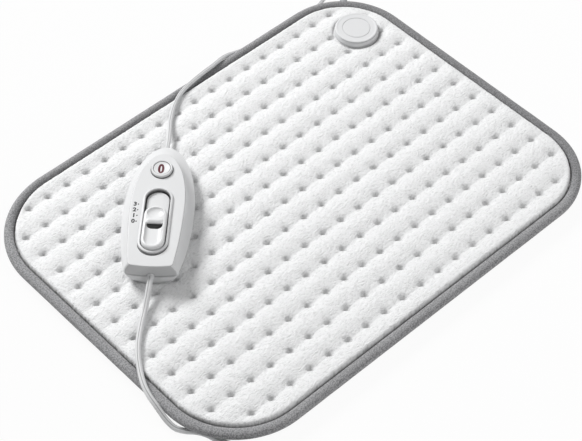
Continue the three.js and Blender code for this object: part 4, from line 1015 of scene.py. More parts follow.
@dataclass
class MainsLead:
    """The lead to the wall plug: over the pad's rim, down beside it and into its coil."""

    diameter: float = 4.8
    relief_tip: float = 1.4
    exit_height: float = MAINS_EXIT_Z
    coil_x: float = COIL_X
    coil_y: float = COIL_Y
    inner_radius: float = 19.4
    pitch: float = 5.3
    turns: int = 8
    steps: int = 24
    climb_turns: float = 0.5
    base_z: float = 3.3
    top_z: float = 8.6
    route: tuple = (
        (-156.3, 2.7, 25), (-164.2, -3.8, 21.6), (-173, -10.8, 18.4), (-182.8, -18.7, 17.4),
        (-199.3, -34.3, 17.4), (-210.2, -49, 17), (-218.6, -64.5, 17), (-221.8, -74.3, 16.6),
        (-223, -82.5, 15), (-223.4, -90, 11.5), (-223.2, -97.5, 7.2), (-221.5, -104.8, 3.9),
        (-217.1, -111.2, 2.8), (-211.1, -117.8, 2.8), (-206.9, -125.6, 2.8),
        (-204.5, -134.1, 2.8), (-200.6, -142.2, 2.8), (-196, -150, 2.9), (-192.7, -158.6, 3.1),
    )
    tail: tuple = (
        (-191.4, -188.5, 8.4), (-191.4, -195.5, 7.2), (-191.9, -202.4, 5), (-193.7, -209.4, 3.4),
        (-197.6, -216.6, 2.8), (-203.8, -223, 3.2), (-211.6, -227.3, 4.9), (-219, -229, 6.5),
    )
    plug_end: tuple = (-224.7, -229.2, 6.85)

    def outer_radius(self) -> float:
        """Radius of the coil's outermost turn."""
        return self.inner_radius + self.pitch * self.turns / 2

    def coil(self) -> Route:
        """Points of the coil: inwards on the floor, up one layer, and out on top."""
        points = []
        for i in range(self.turns * self.steps + 1):
            turn = i / self.steps
            off = turn - self.turns / 2
            radius = self.inner_radius + self.pitch * abs(off)
            climbed = min(max(0.5 + off / self.climb_turns, 0.0), 1.0)
            angle = -2 * math.pi * turn
            z = self.base_z + (self.top_z - self.base_z) * climbed
            x = self.coil_x + radius * math.cos(angle)
            points.append((x, self.coil_y + radius * math.sin(angle), z))
        return points

    def line(self) -> Array:
        """The lead's whole middle line, in millimetres."""
        x = self.coil_x + self.outer_radius()
        start = SEAT.place(0.0, -self.relief_tip - 0.1, self.exit_height)
        lead_in = (x, self.coil_y + 2 * self.diameter, self.base_z)
        points = [start, *self.route, lead_in, (x, self.coil_y + self.diameter, self.base_z)]
        points += self.coil()
        points += [(x, self.coil_y - self.diameter, self.top_z), *self.tail, self.plug_end]
        return through(points, least=1, step=2.2)

    def build(self, dresser: Dresser) -> Piece:
        """Make the lead with its whole length."""
        piece = LeadJacket(self.diameter).tube("mains_lead_jacket", self.line())
        nodes = ("mains_lead", "mains_lead_coil", "mains_lead_tail")
        return dresser.dress(piece, "jacket", Body.PAD, *nodes)

    def declare(self, piece: Piece, on_it: list[Piece]) -> None:
        """Work out the lead's line and width in metres; nothing else is done with them."""
        line = self.line() * MM
        self.diameter * MM


@dataclass
class PadLead:
    """The lead from the controller's nose to the pad's far corner."""

    diameter: float = 3.8
    relief_tip: float = 0.5
    exit_y: float = PAD_EXIT_Y
    exit_height: float = PAD_EXIT_Z
    route: tuple = (
        (-44.6, 111.6, 21.8), (-35.6, 120.8, 20.2), (-26.6, 130.6, 18.4), (-18.5, 138.6, 17.2),
        (-7, 147.5, 17), (4.5, 153.8, 17), (15.5, 157.4, 17), (27.8, 159.6, 16.8),
        (38.9, 161.2, 16.4), (48.8, 162.2, 16), (57.5, 163.8, 15.2), (65.5, 165.6, 13.7),
        (73, 167, 11), (81, 167.9, 7.4), (90, 168.4, 4.2), (101, 168.3, 2.5),
        (118, 168.1, 2.3), (137, 168.1, 2.3), (155, 167.7, 2.3), (170.4, 165.6, 2.3),
        (182.8, 165.1, 2.7), (192.5, 167.1, 4), (200.6, 168, 5.8), (207.1, 165.9, 7.6),
        (210, 160.6, 8.9), (207.17, 155.4, 9.5), (204.76, 152.87, 9.5),
    )

    def line(self) -> Array:
        """The lead's middle line, in millimetres."""
        start = SEAT.place(0.0, self.exit_y + self.relief_tip + 0.1, self.exit_height)
        return through([start, *self.route], least=3, step=2.0)

    def build(self, dresser: Dresser) -> Piece:
        """Make the lead."""
        piece = LeadJacket(self.diameter, groove_angle=97.0).tube("pad_lead_jacket", self.line())
        return dresser.dress(piece, "jacket", Body.PAD, "pad_lead")

    def declare(self, piece: Piece, on_it: list[Piece]) -> None:
        """Work out the lead's line and width in metres; nothing else is done with them."""
        line = self.line() * MM
        self.diameter * MM


# ---------------------------------------------------------------- pad


@dataclass
class PadOutline:
    """The pad's rounded outline, in millimetres; each corner is cut a little differently."""

    length: float = 440.0
    width: float = 330.0
    right: float = 67.0
    far: float = 66.0
    left: float = 76.0
    near: float = 72.0

    def line(self, inset: float, z: float, arc: int = 30, side: int = 70, end: int = 50) -> Ring:
        """Points of the outline at an inset, anticlockwise.

        Args:
            inset: How far inside the pad's edge it runs.
            z: Its height.
            arc: Steps in each corner.
            side: Steps along each long side.
            end: Steps along each short side.

        Returns:
            The ring of points.
        """
        a, b = self.length / 2, self.width / 2
        corners = []
        for sx, sy, radius in ((1, -1, self.right), (1, 1, self.far), (-1, 1, self.left)):
            corners.append((sx * (a - radius), sy * (b - radius), radius))
        corners.append((-(a - self.near), -(b - self.near), self.near))
        points = []
        for k, (x, y, corner) in enumerate(corners):
            radius = corner - inset
            first = -90 + 90 * k
            for i in range(arc):
                angle = math.radians(first + 90 * i / arc)
                points.append((x + radius * math.cos(angle), y + radius * math.sin(angle), z))
            nx, ny, next_corner = corners[(k + 1) % 4]
            angle = math.radians(first + 90)
            c, s = math.cos(angle), math.sin(angle)
            steps = side if k in (1, 3) else end
            p = (x + radius * c, y + radius * s)
            q = (nx + (next_corner - inset) * c, ny + (next_corner - inset) * s)
            for i in range(steps):
                t = i / steps
                points.append((p[0] + (q[0] - p[0]) * t, p[1] + (q[1] - p[1]) * t, z))
        return np.array(points)

    def corner_at(self, x: Array, y: Array) -> Array:
        """Radius of the corner nearest to each place."""
        front = np.where(x > 0, self.right, self.near)
        return np.where(y > 0, np.where(x > 0, self.far, self.left), front)

    def inset_of(self, x: Array, y: Array) -> Array:
        """How far inside the pad's edge each place lies."""
        corner = self.corner_at(x, y)
        dx = np.abs(x) - (self.length / 2 - corner)
        dy = np.abs(y) - (self.width / 2 - corner)
        out = np.hypot(np.maximum(dx, 0), np.maximum(dy, 0))
        return corner - out - np.minimum(np.maximum(dx, dy), 0)


@dataclass
class FleeceCover:
    """The plush top with its embossed dimples, in millimetres."""

    outline: PadOutline
    inset: float = 9.3
    base: float = 8.5
    cell: float = 0.85
    pitch_x: float = 20.5
    pitch_y: float = 23.3
    columns: int = 20
    rows: int = 13
    ridge: float = 14.85
    lean: float = 0.84
    crease: float = 1.15
    saddle: float = 12.9
    pit: float = 9.6
    pit_steep: float = 1.5
    pit_gentle: float = 2.6
    pit_wide: float = 2.7
    nap_lies: float = 227.0
    lip: float = 1.3
    lip_place: float = 2.2
    lip_width: float = 1.5
    rim: float = 3.4
    rim_low: float = 10.4
    margin_from: float = 1.5
    margin_width: float = 9.0
    stray: float = 0.7
    corner_bare: float = 20.0
    seat_x: float = CAP_X
    seat_y: float = CAP_Y
    seat_radius: float = 20.9
    seat_z: float = 13.45
    pile: float = 0.2
    # Painted shade: crescents in the dimples, the crease slopes and a soft patch behind each
    # dimple.
    dusk_near: float = 0.8
    dusk_far: float = 1.7
    dusk_wide: float = 2.7
    dusk_ahead: float = 0.35
    lying_dusk: float = 0.08
    cloud_dusk: float = 0.23

    def from_stitch(self, x: Array, y: Array) -> tuple[Array, ...]:
        """Offset from the nearest dimple, and 1 where that dimple is sewn.

        Args:
            x: Places along the pad.
            y: Places across it.

        Returns:
            Offsets along and across the pad, and whether there is a dimple.
        """
        i = np.clip(np.round(x / self.pitch_x + (self.columns - 1) / 2), 0, self.columns - 1)
        j = np.clip(np.round(y / self.pitch_y + (self.rows - 1) / 2), 0, self.rows - 1)
        near_x = (i - (self.columns - 1) / 2) * self.pitch_x
        near_y = (j - (self.rows - 1) / 2) * self.pitch_y
        sewn = self.outline.inset_of(near_x, near_y) > self.corner_bare / 2
        return x - near_x, y - near_y, sewn

    def along_nap(self, dx: Array, dy: Array) -> tuple[Array, Array]:
        """Turn offsets into ahead along the nap and aside of it."""
        turn = math.radians(self.nap_lies)
        lie_x, lie_y = math.cos(turn), math.sin(turn)
        return dx * lie_x + dy * lie_y, dx * lie_y - dy * lie_x

    def combed(self, x: Array, y: Array) -> Array:
        """How far the pile at each dimple's rim is combed back over it.

        Args:
            x: Places along the pad.
            y: Places across it.

        Returns:
            The shift of each place, in millimetres.
        """
        dx, dy, sewn = self.from_stitch(x, y)
        ahead, aside = self.along_nap(dx, dy)
        pull = np.exp(-(((ahead - self.lip_place) / self.lip_width) ** 2))
        pull = pull * np.exp(-((aside / self.pit_wide) ** 2)) * sewn * -self.lip
        turn = math.radians(self.nap_lies)
        shift = np.stack([pull * math.cos(turn), pull * math.sin(turn)], axis=1)
        inset = self.outline.inset_of(x, y) - self.inset
        for k in np.flatnonzero(inset < 2.0):
            spot = Vector((x[k] * 0.55, y[k] * 0.55, 7.0))
            loose = self.stray * math.exp(-((inset[k] / 1.1) ** 2))
            shift[k] += np.array(noise.noise_vector(spot)[:2]) * loose
        return shift

    def heights(self, x: Array, y: Array) -> Array:
        """Height of the pile at each place.

        Args:
            x: Places along the pad.
            y: Places across it.

        Returns:
            The heights.
        """
        dx, dy, sewn = self.from_stitch(x, y)
        past = np.mod(-dy / self.pitch_y, 1.0)
        valley = 1 - np.sin(math.pi * past**self.lean) ** self.crease
        swell = 0.5 + 0.5 * np.cos(2 * math.pi * dx / self.pitch_x)
        inset = self.outline.inset_of(x, y) - self.inset
        valley = valley * (0.15 + 0.85 * smooth((inset - self.margin_from) / self.margin_width))
        z = self.ridge - (self.ridge - self.saddle) * valley * (0.6 + 0.4 * swell)
        ahead, aside = self.along_nap(dx, dy)
        reach = np.where(ahead > 0, self.pit_steep, self.pit_gentle)
        bowl = np.exp(-(np.hypot(ahead / reach, aside / self.pit_wide) ** 2.3))
        z = z - (self.saddle - self.pit) * bowl * sewn
        roll = np.sqrt(np.clip(1 - (1 - np.clip(inset / self.rim, 0, 1)) ** 2, 0, 1))
        z = self.rim_low + (z - self.rim_low) * roll
        off = np.hypot(x - self.seat_x, y - self.seat_y) - self.seat_radius
        pressed = 1 - smooth(off / 2.5)
        z = np.where(z > self.seat_z, z + (self.seat_z - z) * pressed, z)
        return z - np.exp(-((off / 1.1) ** 2))

    def dusk(self, points: Array, facing: Array) -> Array:
        """Painted shade on the pile: in the dimples, round the seat's edge, along the rim and on
        the creases.

        Args:
            points: Places in millimetres.
            facing: Directions of their faces.

        Returns:
            The share of darkness.
        """
        x, y = points[:, 0], points[:, 1]
        dx, dy, sewn = self.from_stitch(x, y)
        ahead, aside = self.along_nap(dx, dy)
        ragged = np.array([noise.noise(Vector((a * 0.5, b * 0.5, 4.0))) for a, b in zip(x, y)])
        # Painted shade: a dark crescent in each dimple, sharp on its near side.
        ahead = ahead - self.dusk_ahead + 0.35 * (aside / self.dusk_wide) ** 2
        reach = np.where(ahead > 0, self.dusk_near, self.dusk_far) * (1 + 0.5 * ragged)
        deep = 0.45 + 0.55 * smooth(1 + ahead / self.dusk_far)
        pit = np.exp(-(np.hypot(ahead / reach, aside / self.dusk_wide) ** 3.0)) * sewn * 0.86 * deep
        # Painted shadow of the disc round the seat's edge, heavier on its lower side.
        off = np.hypot(x - self.seat_x, y - self.seat_y) - self.seat_radius
        across, up = x - self.seat_x, y - self.seat_y
        low = smooth(0.45 + (0.1 * across - 1.05 * up) / self.seat_radius * 0.6)
        edge = np.exp(-((off / 0.9) ** 2)) * (0.1 + 0.5 * low)
        # Painted shade along the rim beside the tape.
        rim = 1 - smooth((self.outline.inset_of(x, y) - self.inset) / 1.2 + 0.6 * ragged)
        # Painted shade down the slope of each crease, and a soft patch behind each dimple.
        past = np.mod(-dy / self.pitch_y, 1.0)
        lying = smooth((past - 0.3) / 0.6) * (1 + 0.5 * ragged) * self.lying_dusk
        cloud = np.exp(-(((ahead + 2.8) / 3.6) ** 2) - (aside / 4.2) ** 2) * sewn * self.cloud_dusk
        return np.maximum.reduce([pit, edge, rim * 0.75, lying + cloud * (1 + ragged)])

    def fit_outline(self, points: Array) -> Array:
        """Draw a square grid's corners in to the pad's round ones."""
        a = self.outline.length / 2 - self.inset
        b = self.outline.width / 2 - self.inset
        radius = self.outline.corner_at(points[:, 0], points[:, 1]) - self.inset
        u, v = points[:, 0] / MM / a, points[:, 1] / MM / b
        most = np.maximum(np.maximum(np.abs(u), np.abs(v)), 1e-6)
        qx, qy = np.abs(u) / most * a, np.abs(v) / most * b
        cx, cy = a - radius, b - radius
        square = qx**2 + qy**2
        half = qx * cx + qy * cy
        inside = np.maximum(half**2 - square * (cx**2 + cy**2 - radius**2), 0)
        t = (half + np.sqrt(inside)) / square
        t = np.where((t * qx > cx) & (t * qy > cy), t, 1.0)
        share = 1 - (1 - t) * smooth((most - 0.45) / 0.55)
        x, y = u * a * share, v * b * share
        return np.stack([x, y], axis=1)

    def build(self, dresser: Dresser) -> Piece:
        """Make the cover from a fine grid."""
        BENCH.clear()
        a = self.outline.length / 2 - self.inset
        b = self.outline.width / 2 - self.inset
        bpy.ops.mesh.primitive_grid_add(
            x_subdivisions=round(2 * a / self.cell),
            y_subdivisions=round(2 * b / self.cell),
            size=2 * MM,
        )
        piece = BENCH.named("fleece_plush")

        def lay(points: Array) -> Array:
            """Give the grid its outline and its pile."""
            flat = self.fit_outline(points * (a, b, 1.0))
            z = self.heights(flat[:, 0], flat[:, 1])
            rough = np.array(
                [
                    noise.noise(Vector((x * 0.42, y * 0.3, 0.0)))
                    + 0.6 * noise.noise(Vector((x * 0.95, y * 0.7, 7.0)))
                    for x, y in flat
                ]
            )
            z = z + self.pile * rough
            flat = flat + self.combed(flat[:, 0], flat[:, 1])
            return np.stack([flat[:, 0], flat[:, 1], z], axis=1) * MM

        BENCH.reshape(piece, lay)
        BENCH.edit(piece)
        bpy.ops.mesh.region_to_loop()
        bpy.ops.mesh.extrude_region_move()
        body = bmesh.from_edit_mesh(piece.data)
        for vertex in body.verts:
            if vertex.select:
                vertex.co.z = self.base * MM
        bmesh.update_edit_mesh(piece.data)
        bpy.ops.mesh.edge_face_add()
        BENCH.settle(piece, sharp=70.0)
        BENCH.mark(piece, "shade", self.dusk)
        dresser.dress(piece, "fleece", Body.PAD, "fleece_top_cover")
        return piece


@dataclass
class EdgeBinding:
    """Grey tape folded over the edge of both covers, in millimetres."""

    outline: PadOutline
    width: float = 9.0
    height: float = 8.0
    middle_z: float = 9.5
    roundness: float = 2.3
    section_steps: int = 14
    fold: float = 4.6
    inner_fall: float = 3.4
    # Painted shade in the seam between the tape and the pile.
    seam_from: float = 7.9
    seam_width: float = 0.9
    waver: float = 0.16
    # Painted shade on the tape's two far sides.
    left_dusk: float = 0.5
    right_dusk: float = 0.36

    def section(self) -> list[tuple[float, float]]:
        """Inset and rise of the section's points, from its inner top round to its back."""
        points = []
        steps = self.section_steps
        for i in range(steps + 1):
            angle = (0.5 - i / steps) * math.pi
            c, s = math.cos(angle), math.sin(angle)
            inset = self.fold - self.fold * abs(c) ** (2 / self.roundness)
            rise = math.copysign(abs(s) ** (2 / self.roundness), s) * self.height / 2
            points.append((inset, rise))
        points += [(self.width, -2.4), (self.width, 0.3)]
        for i in range(7):
            share = 1 - i / 7
            inset = self.fold + (self.width - self.fold) * share
            fall = self.inner_fall * (1 - math.sqrt(1 - (0.97 * share) ** 2))
            points.append((inset, self.height / 2 - fall))
        return points

    def build(self, dresser: Dresser) -> Piece:
        """Make the tape, one ring of its section after another."""
        rings = [self.outline.line(inset, self.middle_z + rise) for inset, rise in self.section()]
        rings.append(rings[0])
        piece = BENCH.loft("binding_tape", rings, open_ends=True)

        def waver(points: Array) -> Array:
            """Let the tape run a little uneven."""
            moved = points.copy()
            for k, (x, y, z) in enumerate(points / MM):
                pull = noise.noise(Vector((x * 0.045, y * 0.045, 3.0)))
                fine = noise.noise(Vector((x * 0.4, y * 0.4, z * 0.4)))
                moved[k, 2] += (pull * self.waver + fine * 0.08) * MM
            return moved

        def folded_in(points: Array, facing: Array) -> Array:
            """Painted shade in the seam beside the pile and on the tape's two far sides."""
            x, y = points[:, 0], points[:, 1]
            inset = self.outline.inset_of(x, y)
            upper = points[:, 2] > self.middle_z
            seam = smooth((inset - self.seam_from) / self.seam_width) * 0.9
            left = smooth((y - 120) / 30) * smooth((inset - 2.0) / 6.0) * self.left_dusk
            right = smooth((x - 170) / 30) * (0.6 + 0.4 * smooth(inset / 8.0)) * self.right_dusk
            return np.maximum.reduce([seam, left, right]) * upper

        BENCH.reshape(piece, waver)
        BENCH.settle(piece, sharp=50.0)
        BENCH.mark(piece, "shade", folded_in)
        dresser.dress(piece, "tape", Body.PAD, "edge_binding")
        return piece


@dataclass
class BottomCover:
    """The cotton underside: flat on the floor, curved up into the binding."""

    outline: PadOutline
    skirt_inset: float = 24.0
    rise: float = 7.65
    rise_width: float = 14.4
    thickness: float = 1.0

    def height(self, inset: float) -> float:
        """Height of the skirt's underside at an inset."""
        share = min(max((self.skirt_inset - inset) / self.rise_width, 0.0), 1.0)
        return self.rise * (0.5 - 0.5 * math.cos(math.pi * share))

    def build(self, dresser: Dresser) -> Piece:
        """Make the cover as one thin folded shell."""
        insets = [9.6 + self.rise_width * i / 9 for i in range(10)]
        over = [self.outline.line(i, self.height(i) + self.thickness * 0.85) for i in insets]
        under = [self.outline.line(i, self.height(i)) for i in insets]
        rings = [*reversed(over), *under]
        piece = BENCH.loft("cotton_underside", rings)
        BENCH.settle(piece, sharp=40.0)
        dresser.dress(piece, "cotton", Body.PAD, "cotton_bottom_cover")
        return piece


# ---------------------------------------------------------------- junction


@dataclass
class JunctionCap:
    """The round cap over the joint of the pad lead and the heater."""

    x: float = CAP_X
    y: float = CAP_Y
    base: float = 13.8

    def build(self, dresser: Dresser) -> Piece:
        """Turn the cap: inside, skirt, taper, rim and a shallow ring on top."""
        profile = [
            (16.9, 4.2), (18.9, 1.9), (18.9, 0.0), (20.0, 0.0), (20.25, 0.25), (20.3, 1.3),
            (20.2, 1.9), (20.0, 2.6), (19.75, 3.6), (19.6, 4.3), (19.45, 4.5), (18.7, 4.55),
            (18.7, 4.85), (19.3, 4.9), (19.4, 5.2), (19.2, 5.6), (18.85, 5.85), (18.3, 5.95),
            (17.6, 5.93), (17.2, 5.7), (16.9, 5.68), (13.3, 5.68), (13.1, 5.62), (12.9, 5.25),
            (12.4, 5.25), (12.2, 5.62), (12.0, 5.68), (1.0, 5.68),
        ]
        piece = BENCH.loft("junction_cover", turned_rings(profile, 96))
        BENCH.settle(piece, moved(self.x, self.y, self.base), sharp=38.0, weighted=True)
        BENCH.mark(piece, "shade", self.dusk)
        return dresser.dress(piece, "disc", Body.PAD, "junction_cap")

    def dusk(self, points: Array, facing: Array) -> Array:
        """Painted shade in the grooves under the rim and on top, and at the foot.

        Args:
            points: Places in millimetres.
            facing: Directions of their faces.

        Returns:
            The share of darkness.
        """
        reach = np.hypot(points[:, 0] - self.x, points[:, 1] - self.y)
        z = points[:, 2] - self.base
        under = (np.abs(z - 4.7) < 0.25) & (reach < 19.0) & (reach > 18.0)
        ring = (np.abs(reach - 12.65) < 0.4) & (z > 4.0)
        # Painted shade at the foot, where the cap meets the pile.
        foot = smooth((0.8 - z) / 0.8) * (reach > 19.9) * 0.3
        return np.maximum.reduce([under * 0.8, ring * 0.16, foot])


@dataclass
class Gland:
    """The boot that holds the pad lead where it enters the corner."""

    angle: float = 46.5
    corner_x: float = 147.0
    corner_y: float = 92.0
    corner: float = 73.0
    z: float = 9.5

    def build(self, dresser: Dresser) -> Piece:
        """Turn the boot with its ribs and lay it along the corner."""
        profile = [(2.3, -17.0), (2.3, 0.25), (3.5, 0.3), (3.7, 0.5), (3.7, 3.1), (3.55, 3.3)]
        for rib in range(3):
            start = 3.5 + rib * 2.1
            radius = 3.4 - rib * 0.3
            profile += [
                (radius - 0.35, start), (radius - 0.35, start + 0.5),
                (radius, start + 0.7), (radius - 0.08, start + 1.9),
            ]
        profile += [(2.5, 10.0), (2.3, 10.3)]
        piece = BENCH.loft("lead_gland", turned_rings(profile, 40))
        turn = turned(self.angle, "Z") @ turned(90, "Y")
        place = moved(self.corner_x, self.corner_y, self.z) @ turn @ moved(0, 0, self.corner)
        BENCH.settle(piece, place, sharp=35.0)
        return dresser.dress(piece, "boot", Body.PAD, "pad_lead_gland")


# ---------------------------------------------------------------- controller


@dataclass
class Housing:
    """Outline and heights that both shells share, in the controller's frame."""

    half_width: float = 29.7
    widest_y: float = 66.0
    nose: float = 74.0
    front: float = 94.7
    bow: float = 1.7
    corner: float = 4.5
    parting: float = MAINS_EXIT_Z
    gap: float = 0.3
    top: float = SHELL_TOP
    wall: float = 2.0
    port_radius: float = 3.3

    def ring(self, half: float, nose: float, front: float, end: float, z: float) -> Ring:
        """The outline at one level: bowed end, round corners, long sides and oval nose.

        Args:
            half: Half its width at the widest place.
            nose: Reach of the nose from there.
            front: Reach of the side's ellipse towards the end.
            end: Where the end face stands.
            z: The level.

        Returns:
            The ring, anticlockwise from the middle of the end face.
        """

        def side(y: float) -> float:
            """Half the outline's width at a place along it."""
            return half * math.sqrt(max(1 - ((self.widest_y - y) / front) ** 2, 0.0))

        edge = side(end + self.bow)
        corner = np.array([edge, end + self.bow])
        inner = edge - self.corner
        on_face = np.array([inner, end + self.bow * (inner / edge) ** 2])
        side_y = corner[1] + self.corner
        on_side = np.array([side(side_y), side_y])
        face = [inner * t for t in (0.2, 0.4, 0.6, 0.8)]
        right = [(x, end + self.bow * (x / edge) ** 2) for x in face]
        for i in range(9):
            t = i / 8
            right.append(tuple((1 - t) ** 2 * on_face + 2 * t * (1 - t) * corner + t**2 * on_side))
        for i in range(1, 15):
            y = side_y + (self.widest_y - side_y) * i / 14
            right.append((side(y), y))
        for i in range(1, 24):
            angle = math.radians(90 * i / 24)
            right.append((half * math.cos(angle), self.widest_y + nose * math.sin(angle)))
        points = [(0.0, end), *right, (0.0, self.widest_y + nose)]
        points += [(-x, y) for x, y in reversed(right)]
        return np.array([(x, y, z) for x, y in points])

    def port(self) -> Piece:
        """The hole for the mains lead at the parting, as a tool body."""
        low, high = Vector((0, -3, self.parting)), Vector((0, 6, self.parting))
        return BENCH.rod("port", self.port_radius, low, high)


@dataclass
class Well:
    """The sunk track of the slide knob and its raised collar."""

    half: float = 10.4
    front: float = 15.0
    back: float = 81.3
    floor: float = 21.3
    moat: float = 19.2
    moat_width: float = 1.15
    foot_grow: float = 2.1
    foot_lead: float = 4.0

    def ring(self, grow: float, z: float) -> Ring:
        """The well's outline, grown outwards, at one level."""
        return stadium(self.half + grow, self.front - grow, self.back + grow, z)

    def rings(self, profile: Pairs) -> list[Ring]:
        """Rings of a form round the well, from its profile of growth and height."""
        return [self.ring(grow, z) for grow, z in profile]

    def island(self) -> Pairs:
        """Profile of the raised island, with an eased upper edge."""
        grow = -self.moat_width
        return [
            (grow, self.moat - 0.5), (grow, self.floor - 0.25),
            (grow - 0.1, self.floor - 0.07), (grow - 0.3, self.floor),
        ]

    def foot_ring(self, z: float) -> Ring:
        """The collar's outline moved forwards, for the groove at its front foot."""
        return stadium(self.half + self.foot_grow, self.front - self.foot_lead, self.back, z)


@dataclass
class UpperShell:
    """The controller's cover: coved sides, flat top, collar, well and button hole."""

    housing: Housing
    well: Well
    inset: float = 7.0
    nose_setback: float = 17.6
    front_setback: float = -13.3
    cove: float = 2.1
    round_end: float = 2.2
    round_reach: float = 16.0
    edge: float = 1.1
    roof: float = 20.9
    button_y: float = BUTTON_Y
    button_oval: float = 1.07
    button_lead: float = 0.3
    button_groove: float = 9.6
    groove_low: float = 22.3
    groove_high: float = 23.4
    hole_radius: float = 7.25
    collar: Pairs = (
        (2.2, 21.9), (2.2, 22.9), (2.1, 23.9), (1.95, 24.3), (1.7, 24.6), (1.35, 24.8),
        (0.9, 24.9), (0.5, 24.88),
    )
    button_collar: Pairs = (
        (9.05, 21.9), (9.05, 22.9), (9.0, 24.2), (8.85, 24.8), (8.55, 25.2), (8.1, 25.4),
        (7.6, 25.3), (7.1, 25.0),
    )
    tub: Pairs = ((1.6, 17.9), (1.6, 21.9))
    sunk: Pairs = ((0.0, 19.2), (0.0, 21.0), (0.0, 23.0), (0.0, 24.3), (0.15, 24.7), (0.55, 25.1))
    hole: Pairs = ((7.25, 20.0), (7.25, 23.0), (7.25, 24.8), (7.35, 25.0), (7.5, 25.6))
    slit_low: Triple = (-2.5, 31.2, 17.0)
    slit_high: Triple = (2.5, 64.8, 22.0)
    # Painted shade in the well, hole, grooves, collar's foot, end face and parting gap.
    wall_dusk_top: float = 24.6
    rim_dusk_top: float = 25.1
    groove_from: float = 22.1
    groove_dusk_radii: tuple = (8.9, 10.3)
    foot_dusk: float = 0.75
    foot_dusk_end: float = 30.0
    end_dusk: float = 0.32
    parting_dusk: float = 0.5
    dusk_share: float = 0.88

    def button_ring(self, radius: float, z: float) -> Ring:
        """One slightly oval ring round the button."""
        ring = circle(radius, z, 64)
        ring[:, 1] = ring[:, 1] * self.button_oval + self.button_y - self.button_lead
        return ring

    def cove_ring(self, share: float, wall: float, bottom: float, top: float) -> Ring:
        """One ring of the coved side, at a share of its height."""
        h = self.housing
        rings = [
            h.ring(
                h.half_width - self.inset * drawn - wall,
                h.nose - self.nose_setback * drawn - wall,
                h.front - self.front_setback * drawn,
                wall * 0.6,
                bottom + (top - bottom) * share,
            )
            for drawn in (1 - (1 - share) ** self.cove, share**self.round_end)
        ]
        near = smooth(1 - rings[0][:, 1:2] / self.round_reach)
        return rings[0] * (1 - near) + rings[1] * near

    def skin(self) -> Piece:
        """The outside, closed at both ends."""
        h = self.housing
        bottom, edge = h.parting + h.gap / 2, h.top - self.edge
        shares = [0, 0.03, 0.07, 0.12, 0.2, 0.3, 0.42, 0.55, 0.7, 0.85, 1.0]
        rings = [self.cove_ring(share, 0.0, bottom, edge) for share in shares]
        for c, s in quarter_turn():
            rings.append(self.cove_ring(1.0, self.edge * (1 - c), bottom, edge + self.edge * s))
        return BENCH.loft("upper_cover", rings)

    def hollow(self) -> Piece:
        """The inside, as a tool body."""
        h = self.housing
        bottom = h.parting + h.gap / 2
        shares = [0, 0.12, 0.3, 0.55, 0.8, 1.0]
        rings = [self.cove_ring(share, h.wall, bottom, self.roof) for share in shares]
        first = rings[0].copy()
        first[:, 2] -= 1.0
        return BENCH.loft("hollow", [first, *rings])

    def build(self, dresser: Dresser) -> Piece:
        """Make the cover."""
        w = self.well
        piece = self.skin()
        BENCH.work(piece, self.hollow(), Cut.TAKE)
        groove = (self.groove_low, self.groove_high)
        BENCH.form(piece, "foot", [w.foot_ring(z) for z in groove], Cut.TAKE)
        foot = [self.button_ring(self.button_groove, z) for z in groove]
        BENCH.form(piece, "foot", foot, Cut.TAKE)
        BENCH.form(piece, "collar", w.rings(self.collar), Cut.ADD)
        rings = [self.button_ring(radius, z) for radius, z in self.button_collar]
        BENCH.form(piece, "button_collar", rings, Cut.ADD)
        BENCH.form(piece, "tub", w.rings(self.tub), Cut.ADD)
        BENCH.form(piece, "well", w.rings(self.sunk), Cut.TAKE)
        BENCH.form(piece, "island", w.rings(w.island()), Cut.ADD)
        BENCH.work(piece, BENCH.block("slit", self.slit_low, self.slit_high), Cut.TAKE)
        rings = [circle(radius, z, y=self.button_y) for radius, z in self.hole]
        BENCH.form(piece, "hole", rings, Cut.TAKE)
        BENCH.work(piece, self.housing.port(), Cut.TAKE)
        BENCH.settle(piece, SEAT.matrix(), sharp=34.0, weighted=True)
        BENCH.mark(piece, "shade", self.dusk)
        return dresser.dress(piece, "shell", Body.PAD, "upper_shell")

    def dusk(self, points: Array, facing: Array) -> Array:
        """Painted shade in the well, hole, grooves, collar's foot, end face and parting gap.

        Args:
            points: Places in millimetres, in the part's frame.
            facing: Directions of their faces.

        Returns:
            The share of darkness.
        """
        x, y, z = SEAT.local(points).T
        w = self.well
        upright = np.abs(facing[:, 2]) < 0.6
        along = np.clip(y, w.front + w.half, w.back - w.half)
        out = np.hypot(x, y - along) - w.half
        # Painted shade down the well's wall and in its moat.
        wall = (np.abs(out) < 0.3) & (z < self.wall_dusk_top)
        deep = smooth((self.wall_dusk_top - z) / 2.2) * wall
        moat = (out < 0.3) & (z < w.moat + 0.1)
        reach = np.hypot(x, y - self.button_y)
        ring = smooth((self.rim_dusk_top - z) / 0.5) * (np.abs(reach - self.hole_radius) < 0.2)
        near, far = self.groove_dusk_radii
        groove = (z < 22.5) & (z > self.groove_from) & (facing[:, 2] > 0.6)
        beside = (reach > near) & (reach < far) & (y < self.button_y)
        groove |= (z < 23.0) & (z > self.groove_from) & upright & beside
        foot = (np.abs(out - 2.2) < 0.3) & (z < 23.2) & (z > 22.5)
        foot = foot & upright & (y < self.foot_dusk_end)
        foot = foot * smooth((self.foot_dusk_end - y) / 12.0) * self.foot_dusk
        # Painted shade: the end face darker, as it faces away from the light.
        end = (y < 3.0) & upright & (SEAT.away(facing) > 0.86)
        # Painted shade in the gap between the shells.
        parting = (z < self.housing.parting + 0.3) & upright
        parts = [deep, moat * 1.0, groove * 1.0, ring, foot]
        parts += [end * self.end_dusk, parting * self.parting_dusk]
        return np.maximum.reduce(parts) * self.dusk_share


